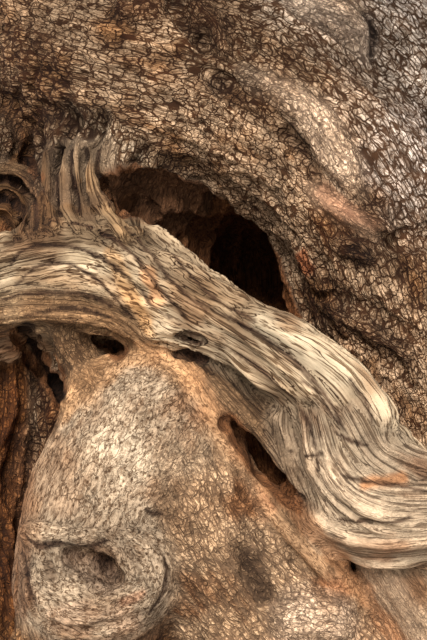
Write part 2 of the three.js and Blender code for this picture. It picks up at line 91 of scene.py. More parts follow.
# Strands are named centre lines. Each point is x, y, z, radius.
CORE = [
    (0, 40, -200, 700), (0, 30, 300, 580), (-20, 20, 1000, 520), (-40, 20, 1600, 540),
    (-20, 0, 1850, 480),
]
BARK_STRANDS = {
    "arch": [
        (-560, 560, 900, 230), (-640, 450, 1400, 215), (-720, 140, 1790, 225),
        (-640, -210, 1760, 250), (-405, -445, 1650, 235), (-160, -490, 1570, 250),
        (75, -535, 1380, 225), (195, -515, 1120, 225), (315, -460, 805, 240), (410, -430, 455, 260),
        (470, -500, -60, 300),
    ],
    "brow": [
        (-420, 480, 1800, 220), (-650, 130, 2010, 225), (-410, -340, 1990, 235),
        (-40, -430, 1890, 230), (225, -460, 1700, 230), (415, -405, 1375, 235),
        (570, -300, 895, 245), (700, -330, 300, 250), (820, -430, -60, 260),
    ],
    "shoulder": [
        (-360, -620, 735, 160), (-265, -605, 560, 185), (-120, -595, 380, 195),
        (30, -600, 170, 215), (120, -660, -80, 250),
    ],
    "smooth_root": [
        (135, -665, 570, 95), (180, -690, 500, 100), (245, -700, 400, 100), (335, -710, 220, 120),
        (400, -760, -60, 170),
    ],
    "prop": [(-610, -555, 1075, 45), (-565, -570, 955, 50), (-525, -595, 855, 45)],
    "flank": [
        (-790, -260, 1500, 130), (-815, -310, 1100, 118), (-815, -320, 845, 125),
        (-850, -335, 590, 115), (-800, -350, 310, 140), (-860, -420, -60, 210),
    ],
    "foot": [(-500, -570, 420, 190), (-520, -600, 210, 220), (-560, -680, -60, 260)],
}
WEATHERED_STRAND = [
    (-930, -250, 1000, 100), (-800, -430, 1085, 140), (-640, -510, 1135, 150),
    (-480, -575, 1150, 142), (-330, -655, 1090, 100), (-190, -715, 1010, 76), (-65, -745, 930, 86),
    (30, -760, 825, 102), (110, -735, 680, 135), (285, -645, 575, 135),
]
LOWER_BAND = [
    (-310, -645, 1000, 50), (-235, -680, 918, 58), (-150, -700, 828, 62), (-78, -722, 728, 60),
    (-47, -730, 640, 55), (0, -720, 545, 48),
]
BURL = [(-395, -585, 780, 205), (-495, -630, 595, 190), (-510, -640, 480, 180)]
CAVITIES = [
    [
        (-500, -330, 1330, 120), (-330, -300, 1270, 165), (-183, -300, 1190, 170),
        (-93, -310, 1076, 125),
    ],
    [(-240, -330, 1230, 130), (-134, -130, 1176, 140)],
    [(-760, -500, 1080, 45), (-690, -520, 960, 40), (-610, -540, 830, 40)],
    [(-190, -570, 790, 50), (-110, -560, 690, 60), (-40, -560, 620, 45)],
]
MOUTH = [
    [
        (-456, -590, 1354, 54), (-406, -575, 1340, 58), (-315, -530, 1320, 62),
        (-229, -475, 1290, 62), (-175, -465, 1240, 60), (-137, -470, 1142, 58),
        (-101, -479, 1059, 54),
    ],
    [
        (-450, -540, 1297, 60), (-373, -520, 1244, 76), (-293, -420, 1224, 90),
        (-210, -380, 1200, 100), (-146, -400, 1098, 70),
    ],
]
MOUTH_BLEND = 12.0
# Strands, knobs and rot holes that the photograph doesn't show: how many, and their degrees round
# the trunk. Each level is a height, the distance from the trunk's middle, and a swelling.
FAR_STRANDS = {"count": 8, "from": -22, "to": 176, "lean": 34, "radius": 215}
FAR_FORMS, FAR_START, FAR_TURN = 27, -18, 237
FAR_LEVELS = [(-60, 860, 1.3), (350, 670, 1.05), (900, 590, 0.9), (1450, 590, 1), (1900, 480, 1)]

# Crown
TRUNK_AXIS = (-20, 20)
CROWN_REACH = 1950
# Rings of masses: how many, the first one's degrees round the trunk and how far each strays, its
# share of the crown's reach and the range of that, its height and the range of that.
RINGS = {
    "outer": (6, 20, 7, 1.0, (0.95, 1.08), 3250, (-150, 200)),
    "inner": (5, 52, 8, 0.58, (0.92, 1.1), 4400, (-150, 180)),
}
TOP_MASS = (60, 80, 5080)
BOUGH_OUT, BOUGH_HEIGHT = 360, 1620  # where the boughs leave the trunk
BOUGH_RADII, BOUGH_JOG = [250, 225, 185, 145, 110, 78], 75
# An upper bough's place on its bough, its radius there as a share of the bough's, and its taper
UPPER_START, UPPER_SHARE, UPPER_TAPER = 0.42, 0.72, (1, 0.86, 0.72, 0.58)
UPPER_TIP_RADIUS, UPPER_JOG = 60, 70
MASS_ENTRY = 0.52  # share of a mass's radius at which its limb ends
LIMB_STEPS = 6
MASS_RADIUS, MASS_HEIGHT, MASS_MARGIN = 1140, 900, 0.07
SIDE_TWIGS = 11
FORK = {"spread": 52, "jitter": 12}
SPRAY_LENGTH, SPRAY_WIDTH = 475, 275
TWIG_CLEARANCE, SPRAY_CLEARANCE, SHORTER_TWIG = 30, 75, 0.62
STEM_TIP_RADIUS = 16
TWIG_RADIUS, TWIG_TIP_RADIUS = 15, 7
GOLDEN_ANGLE = math.pi * (3 - math.sqrt(5))


def mix(a, b, t):
    return a + (b - a) * t


class Dice:
    """A seeded die: the same throws in the same order on every run."""

    def __init__(self, seed):
        self.state = seed

    def next(self):
        self.state = (self.state * 1664525 + 1013904223) % 4294967296
        return self.state / 4294967296

    def between(self, low, high):
        return low + (high - low) * self.next()


def curve_place(points, share):
    """A place on the centripetal Catmull-Rom curve through points, at a share of its spans."""
    count = len(points)
    at = (count - 1) * share
    span = int(math.floor(at))
    weight = at - span
    if weight == 0 and span == count - 1:
        span, weight = count - 2, 1.0
    p1, p2 = points[span], points[span + 1]
    p0 = points[span - 1] if span > 0 else 2 * points[0] - points[1]
    p3 = points[span + 2] if span + 2 < count else 2 * points[-1] - points[-2]
    d0, d1, d2 = (float(((b - a) ** 2).sum()) ** 0.25 for a, b in ((p0, p1), (p1, p2), (p2, p3)))
    t1 = ((p1 - p0) / d0 - (p2 - p0) / (d0 + d1) + (p2 - p1) / d1) * d1
    t2 = ((p2 - p1) / d1 - (p3 - p1) / (d1 + d2) + (p3 - p2) / d2) * d1
    w = weight
    return p1 + t1 * w + (3 * (p2 - p1) - 2 * t1 - t2) * w**2 + (2 * (p1 - p2) + t1 + t2) * w**3


def smooth_path(points, per_span):
    """Places and radii along a strand."""
    points = np.asarray(points, float)
    spans = len(points) - 1
    places, radii = [], []
    for i in range(spans * per_span + 1):
        at = i / per_span
        span = min(int(at), spans - 1)
        places.append(curve_place(points[:, :3], at / spans))
        radii.append(mix(points[span, 3], points[span + 1, 3], at - span))
    return np.array(places), np.array(radii)


def unit(v):
    """Vectors brought to a length of 1."""
    return v / np.maximum(np.linalg.norm(v, axis=-1, keepdims=True), 1e-12)


class Strand:
    """A tapering strand of wood, or a hollow of that shape, with its own coordinates."""

    def __init__(self, points, kind, blend, path=None, owner="trunk"):
        self.places, self.radii = path or smooth_path(points, STRAND_STEPS)
        self.kind, self.blend, self.owner = kind, blend, owner
        steps = np.diff(self.places, axis=0)
        self.lengths = np.linalg.norm(steps, axis=1)
        self.start = np.concatenate([[0], np.cumsum(self.lengths)])
        ahead = unit(steps)
        ahead = unit(np.vstack([ahead[:1], ahead[1:] + ahead[:-1], ahead[-1:]]))
        side = np.array([0.31, 0.87, 0.38])
        self.side, self.up = [], []
        for a in ahead:
            side = unit(side - side @ a * a)
            self.side.append(side)
            self.up.append(np.cross(a, side))
        self.side, self.up, self.ahead = np.array(self.side), np.array(self.up), ahead
        reach = self.radii.max() + STRAND_REACH
        self.low, self.high = self.places.min(0) - reach, self.places.max(0) + reach

    def distance(self, p):
        """Signed distance from places p to the strand's skin, negative inside."""
        best = np.full(len(p), 1e6, np.float32)
        for i in range(len(self.places) - 1):
            d = (self.places[i + 1] - self.places[i]).astype(np.float32)
            w = p - self.places[i].astype(np.float32)
            t = np.clip(w @ d / np.float32(d @ d), 0, 1)
            w -= t[:, None] * d
            gap = np.sqrt(np.einsum("ij,ij->i", w, w))
            gap -= np.float32(self.radii[i]) + t * np.float32(self.radii[i + 1] - self.radii[i])
            np.minimum(best, gap, out=best)
        return best

    def coordinates(self, p):
        """Distance, and the place along and across the strand, for places p."""
        best = np.full(len(p), 1e6)
        out = np.zeros((len(p), 3))
        last = len(self.places) - 2
        for i in range(last + 1):
            a, b = self.places[i], self.places[i + 1]
            since, until = (p - a) @ self.ahead[i], (b - p) @ self.ahead[i + 1]
            run = since / np.where(np.abs(since + until) < 1, 1, since + until)
            run = np.clip(run, -4 if i == 0 else -0.02, 5 if i == last else 1.02)
            t = np.clip(run, 0, 1)
            v = p - a - run[:, None] * (b - a)
            from_axis = p - a - t[:, None] * (b - a)
            gap = np.linalg.norm(from_axis, axis=1) - mix(self.radii[i], self.radii[i + 1], t)
            astray = ((since < 0) & (i > 0)) | ((until < 0) & (i < last))
            gap += 1000 * astray
            side = mix(self.side[i], self.side[i + 1], t[:, None])
            up = mix(self.up[i], self.up[i + 1], t[:, None])
            here = np.stack(
                [self.start[i] + run * self.lengths[i], (v * side).sum(1), (v * up).sum(1)], 1
            )
            better = gap < best
            best[better] = gap[better]
            out[better] = here[better]
        return np.where(best > 500, best - 1000, best), out


def smooth_min(a, b, k):
    """The lesser of two distances, with a fillet of width k between them."""
    h = np.maximum(k - np.abs(a - b), 0) / k
    return np.minimum(a, b) - h * h * k * 0.25


class Wood:
    """A body of strands grown together, and of hollows cut from it, in that order."""

    def __init__(self):
        self.steps = []

    def add(self, points, kind, blend=STRAND_BLEND, **extra):
        self.steps.append(("add", Strand(points, kind, blend, **extra)))

    def cut(self, points, kind, blend=CAVITY_BLEND, **extra):
        self.steps.append(("cut", Strand(points, kind, blend, **extra)))

    def field(self, p, wanted=None):
        """Signed distance of places p; wanted gives, for each step, the places that it can touch."""
        d = np.full(len(p), FAR_AWAY, np.float32)
        for n, (act, strand) in enumerate(self.steps):
            if wanted is None:
                near = np.flatnonzero(((p > strand.low) & (p < strand.high)).all(1))
            else:
                near = wanted[n]
            if not len(near):
                continue
            far = strand.distance(p[near])
            old = d[near]
            if act == "add":
                d[near] = smooth_min(old, far, strand.blend)
            else:
                d[near] = -smooth_min(-old, far, strand.blend)
        return d


def grid_values(wood, low, shape, cell):
    """The field on a grid, worked out only in the blocks that the skin passes."""
    blocks = [math.ceil((n - 1) / BLOCK) for n in shape]
    b = np.stack(np.meshgrid(*[np.arange(n) for n in blocks], indexing="ij"), -1).reshape(-1, 3)
    centres = (low + (b * BLOCK + BLOCK / 2) * cell).astype(np.float32)
    half = math.sqrt(3) * BLOCK * cell / 2
    middle = wood.field(centres)
    values = middle.reshape(blocks)
    for axis in range(3):
        values = np.repeat(values, BLOCK, axis)
    values = np.pad(values, ((0, 1), (0, 1), (0, 1)), mode="edge").astype(np.float32)
    active = np.flatnonzero(np.abs(middle) < half * 1.1 + 3)
    inner = np.stack(np.meshgrid(*[np.arange(BLOCK + 1)] * 3, indexing="ij"), -1).reshape(-1, 3)

    def work(part):
        reach = [
            np.flatnonzero(s.distance(centres[part]) < s.blend + 2 * half) for _, s in wood.steps
        ]
        index = (b[part][:, None, :] * BLOCK + inner[None]).reshape(-1, 3)
        p = (low + index * cell).astype(np.float32)
        size = len(inner)
        wanted = [(r[:, None] * size + np.arange(size)).ravel() for r in reach]
        values[index[:, 0], index[:, 1], index[:, 2]] = wood.field(p, wanted)

    with ThreadPoolExecutor(THREADS) as pool:
        list(pool.map(work, np.array_split(active, max(THREADS, len(active) // BLOCK_SLICE))))
    return values[: shape[0], : shape[1], : shape[2]]


def surface_nets(values, low, cell):
    """Places and four-sided faces of the skin where the grid's values change sign."""
    inside = values < 0
    some = np.zeros(np.array(values.shape) - 1, bool)
    every = np.ones_like(some)
    offsets = [(x, y, z) for x in (0, 1) for y in (0, 1) for z in (0, 1)]

    def corner(array, o):
        return array[
            o[0] : array.shape[0] - 1 + o[0],
            o[1] : array.shape[1] - 1 + o[1],
            o[2] : array.shape[2] - 1 + o[2],
        ]

    for o in offsets:
        some |= corner(inside, o)
        every &= corner(inside, o)
    cells = np.argwhere(some & ~every)
    number = np.full(some.shape, -1, np.int32)
    number[cells[:, 0], cells[:, 1], cells[:, 2]] = np.arange(len(cells))
    at = {o: values[cells[:, 0] + o[0], cells[:, 1] + o[1], cells[:, 2] + o[2]] for o in offsets}
    total = np.zeros((len(cells), 3))
    count = np.zeros(len(cells))
    for o in offsets:
        for axis in range(3):
            if o[axis]:
                continue
            q = tuple(1 if k == axis else o[k] for k in range(3))
            a, c = at[o], at[q]
            cross = (a < 0) != (c < 0)
            t = np.where(cross, a / np.where(cross, a - c, 1), 0)
            spot = np.tile(np.array(o, float), (len(cells), 1))
            spot[:, axis] = t
            total += spot * cross[:, None]
            count += cross
    places = low + (cells + total / count[:, None]) * cell
    faces = []
    for axis in range(3):
        u, v = (axis + 1) % 3, (axis + 2) % 3
        first = [slice(1, -1)] * 3
        second = [slice(1, -1)] * 3
        first[axis], second[axis] = slice(0, -1), slice(1, None)
        change = inside[tuple(first)] != inside[tuple(second)]
        e = np.argwhere(change)
        e[:, u] += 1
        e[:, v] += 1
        outward = inside[e[:, 0], e[:, 1], e[:, 2]]
        quad = []
        for du, dv in ((-1, -1), (0, -1), (0, 0), (-1, 0)):
            q = e.copy()
            q[:, u] += du
            q[:, v] += dv
            quad.append(number[q[:, 0], q[:, 1], q[:, 2]])
        quad = np.stack(quad, 1)
        quad[~outward] = quad[~outward][:, ::-1]
        faces.append(quad)
    return places, np.concatenate(faces)


# Seeded noise
def lattice(i, seed):
    """A fixed random number from 0 to 1 for each whole-number place."""
    i = i.astype(np.int64).astype(np.uint32)
    h = i[:, 0] * np.uint32(374761393) + i[:, 1] * np.uint32(668265263)
    h += i[:, 2] * np.uint32(2246822519) + np.uint32(seed * 3266489917 % 4294967296)
    h = (h ^ (h >> np.uint32(13))) * np.uint32(1274126177)
    h = (h ^ (h >> np.uint32(16))) * np.uint32(2654435761)
    h ^= h >> np.uint32(15)
    return (h & np.uint32(0xFFFFFF)) / float(0x1000000)


CORNERS = [np.array((x, y, z)) for x in (0, 1) for y in (0, 1) for z in (0, 1)]
NEIGHBOURS = [np.array((x, y, z)) for x in (-1, 0, 1) for y in (-1, 0, 1) for z in (-1, 0, 1)]


def noise(p, seed=0):
    """Smooth noise from -1 to 1."""
    base = np.floor(p)
    t = p - base
    t = t * t * (3 - 2 * t)
    total = np.zeros(len(p))
    for o in CORNERS:
        total += np.prod(np.where(o, t, 1 - t), axis=1) * lattice(base + o, seed)
    return total * 2 - 1


def rough_noise(p, seed=0, octaves=3):
    """Noise with finer noise on it."""
    total, size = np.zeros(len(p)), 1.0
    for n in range(octaves):
        total += size * noise(p * 2.03**n + 7.1 * n, seed + n)
        size *= 0.5
    return total / 1.75


def cell_edges(p, seed=0):
    """How much nearer the nearest cell point is than the next: 0 on the edges between cells."""
    base = np.floor(p)
    first = np.full(len(p), 9.0)
    second = np.full(len(p), 9.0)
    for o in NEIGHBOURS:
        i = base + o
        spot = i + np.stack([lattice(i, seed + k) for k in range(3)], 1)
        gap = np.linalg.norm(p - spot, axis=1)
        second = np.where(gap < first, first, np.minimum(second, gap))
        first = np.minimum(first, gap)
    return second - first


def ramp(x, low, high):
    """Smooth step from 0 at low to 1 at high."""
    t = np.clip((x - low) / (high - low), 0, 1)
    return t * t * (3 - 2 * t)


def sharp(x):
    """A ridge: 1 where smooth noise crosses 0, falling off to both sides."""
    return 1 - np.abs(x)


def srgb(c):
    """Colours given as in a picture, from 0 to 255, in the scene's linear units."""
    c = np.asarray(c, float) / 255
    return np.where(c <= 0.04045, c / 12.92, ((c + 0.055) / 1.055) ** 2.4)


# Photograph's frame
def frame_place(p):
    """Where places are seen in the photograph's frame, in pixels."""
    away = (p[:, 1] - CAMERA[1]) / 1000  # a pixel's width in mm at that distance
    return (
        FRAME_WIDTH / 2 + (p[:, 0] - CAMERA[0]) / away,
        FRAME_HEIGHT / 2 - (p[:, 2] - CAMERA[2]) / away,
    )


RAY_START = 1700  # mm from the camera, well before the wood
RAY_STEPS, RAY_SHARE, RAY_LIMITS = 70, 0.85, (-30, 60)  # steps, and their share of the distance


def skin_places(wood, seen):
    """Where the lines of sight through places in the frame first meet the wood."""
    seen = np.asarray(seen, float)
    ray = np.stack(
        [seen[:, 0] - FRAME_WIDTH / 2, np.full(len(seen), 1000.0), FRAME_HEIGHT / 2 - seen[:, 1]], 1
    )
    ray = unit(ray)
    return wood_met(wood, CAMERA + ray * RAY_START, ray), ray


def wood_met(wood, start, ray):
    """Where rays from outside the wood first meet it."""
    run = np.zeros(len(start))
    for _ in range(RAY_STEPS):
        d = wood.field((start + ray * run[:, None]).astype(np.float32))
        run += np.clip(d * RAY_SHARE, *RAY_LIMITS)
    return start + ray * run[:, None]


def far_forms(wood, stage, dice):
    """Knobs and rot holes on the trunk's sides and back, by a seeded rule."""
    count = range(FAR_FORMS)
    turns = [FAR_START + FAR_TURN * (k + dice.between(0.2, 0.8)) / FAR_FORMS for k in count]
    turns = np.radians(turns)
    heights = np.array([dice.between(260, 1800) for _ in turns])
    sizes = np.array([dice.between(0.7, 1.25) for _ in turns])
    ray = np.stack([-np.cos(turns), -np.sin(turns), 0 * turns], 1)
    start = np.stack([0 * turns, 0 * turns + 60, heights], 1) - ray * 1500
    spots = wood_met(wood, start, ray)
    for k, (spot, way, size) in enumerate(zip(spots, ray, sizes)):
        if k % 3 == 2 and stage == "cut":
            tall = np.array([0, 0, 60 * size])
            line = [(*(spot + share * tall + way * 30), radius * size)
                    for share, radius in ((-1, 22), (0, 40), (1, 20))]
            wood.cut(line, "hollow", ROT_BLEND)
        elif k % 3 != 2 and stage == "add":
            lean = np.array([way[1], -way[0], dice.between(-0.6, 0.6)]) * 70 * size
            line = [(*(spot + share * lean + way * 40 * size), radius * size)
                    for share, radius in ((-1, 62), (0, 88), (1, 58))]
            wood.add(line, "far", KNOB_BLEND)


# Small forms on the wood: what they are made of, the width of their fillet in mm, and a line of
# places seen in the frame. Each place is x, y in pixels, its radius in mm, and how far its middle
# lies in front of the skin as a share of the radius.
RAISED_FORMS = [
    # the smooth pale ridge on the arch, and the bump above it
    ("pale", 9, [(246, 74, 16, -0.5), (272, 86, 26, -0.35), (300, 104, 32, -0.25),
        (318, 126, 36, -0.2), (332, 150, 38, -0.25), (346, 172, 32, -0.3), (356, 192, 22, -0.6)]),
    ("pale", 9, [(306, 6, 20, -0.5), (330, 14, 24, -0.35), (346, 22, 32, -0.2), (358, 34, 32, -0.2),
        (362, 48, 22, -0.4)]),
    # the callus rim and knots at the right
    ("callus", 14, [(312, 178, 12, -0.3), (322, 192, 17, -0.1), (338, 206, 18, -0.1),
        (358, 220, 18, -0.1), (374, 230, 14, -0.3)]),
    ("bark", 14, [(370, 212, 16, 0.1), (384, 222, 20, 0.1), (392, 230, 14, -0.2)]),
    ("bark", 12, [(344, 246, 18, -0.2), (356, 248, 24, 0.0), (368, 256, 18, -0.2)]),
    # folds of the arch
    ("bark", 24, [(128, 12, 34, -0.5), (150, 14, 40, -0.5)]),
    ("bark", 16, [(198, 8, 26, -0.4), (216, 26, 30, -0.4), (222, 50, 22, -0.4)]),
    ("bark", 14, [(330, 312, 14, -0.3), (368, 330, 20, -0.3), (404, 356, 18, -0.3)]),
    # dead wood that fans down from under the arch at the left, and its swirl
    ("fan", 5, [(105, 150, 12, -0.4), (106, 180, 15, 0.4), (117, 206, 19, 0.1),
        (142, 236, 20, -0.4)]),
    ("fan", 5, [(91, 148, 12, -0.4), (92, 180, 14, 0.4), (102, 208, 17, 0.1), (124, 238, 18, -0.4)]),
    ("fan", 5, [(78, 148, 11, -0.4), (79, 180, 13, 0.4), (85, 210, 16, 0.1), (98, 236, 16, -0.4)]),
    ("fan", 5, [(64, 148, 11, -0.4), (66, 178, 13, 0.3), (69, 206, 15, 0.1), (80, 232, 15, -0.4)]),
    ("fan", 8, [(47, 154, 14, 0.2), (49, 180, 18, 0.3), (49, 210, 20, 0.2), (54, 232, 18, -0.2)]),
    ("band", 10, [(-14, 172, 20, 0.0), (12, 170, 20, 0.1), (34, 182, 22, 0.1), (42, 206, 24, 0.0),
        (40, 234, 24, -0.4)]),
    ("fan", 8, [(-14, 190, 14, 0.2), (8, 187, 15, 0.3), (22, 196, 16, 0.3), (26, 214, 16, 0.2),
        (20, 236, 18, -0.2)]),
    ("fan", 8, [(-14, 214, 16, 0.2), (4, 212, 20, 0.3), (14, 222, 16, 0.0)]),
    # bark left on the lower half of the weathered strand, and its prop
    ("layered", 44, [(-20, 318, 48, -0.35), (30, 310, 54, -0.3), (74, 310, 54, -0.3),
        (112, 316, 44, -0.25), (148, 340, 28, -0.2)]),
    ("prop", 16, [(62, 322, 36, 0.0), (74, 346, 42, 0.0), (86, 368, 38, -0.3), (94, 384, 24, -0.8)]),
    # the bulge of the weathered strand's back
    ("weathered", 60, [(250, 324, 24, -0.9), (300, 352, 44, -0.75), (340, 382, 52, -0.7),
        (368, 420, 46, -0.7)]),
    # the knuckle
    ("knuckle", 30, [(286, 418, 36, -0.8), (302, 466, 44, -0.6), (322, 512, 56, -0.6),
        (360, 532, 62, -0.6), (440, 526, 70, -0.6)]),
    ("knuckle", 30, [(318, 420, 46, -0.8), (332, 462, 56, -0.5), (362, 494, 66, -0.5),
        (440, 500, 76, -0.5)]),
    ("knuckle", 30, [(352, 420, 42, -0.8), (372, 452, 50, -0.6), (400, 468, 52, -0.6),
        (444, 484, 56, -0.6)]),
    # the burl: a rolled orange rim, and the folded knot at its foot
    ("rim", 30, [(70, 402, 18, -0.7), (92, 376, 24, -0.6), (120, 360, 26, -0.6), (150, 358, 26, -0.6),
        (178, 374, 26, -0.6), (200, 404, 28, -0.5), (226, 444, 30, -0.5), (254, 482, 30, -0.5),
        (288, 522, 30, -0.5), (324, 560, 30, -0.6), (360, 604, 26, -0.7)]),
    ("burl", 60, [(58, 588, 64, -0.6), (92, 600, 78, -0.6), (124, 594, 70, -0.6)]),
    ("burl", 16, [(128, 538, 24, -0.4), (146, 550, 32, -0.4), (156, 570, 34, -0.4),
        (152, 592, 32, -0.4), (138, 608, 24, -0.5)]),
    ("burl", 10, [(104, 538, 16, -0.3), (117, 547, 20, -0.2), (126, 562, 20, -0.2),
        (128, 580, 18, -0.2), (120, 594, 14, -0.3)]),
    ("burl", 22, [(30, 532, 24, -0.5), (52, 536, 30, -0.45), (80, 538, 28, -0.45),
        (100, 536, 20, -0.5)]),
    # the bark slope at the lower right
    ("pale", 40, [(292, 614, 60, -0.7), (324, 620, 60, -0.7)]),
]
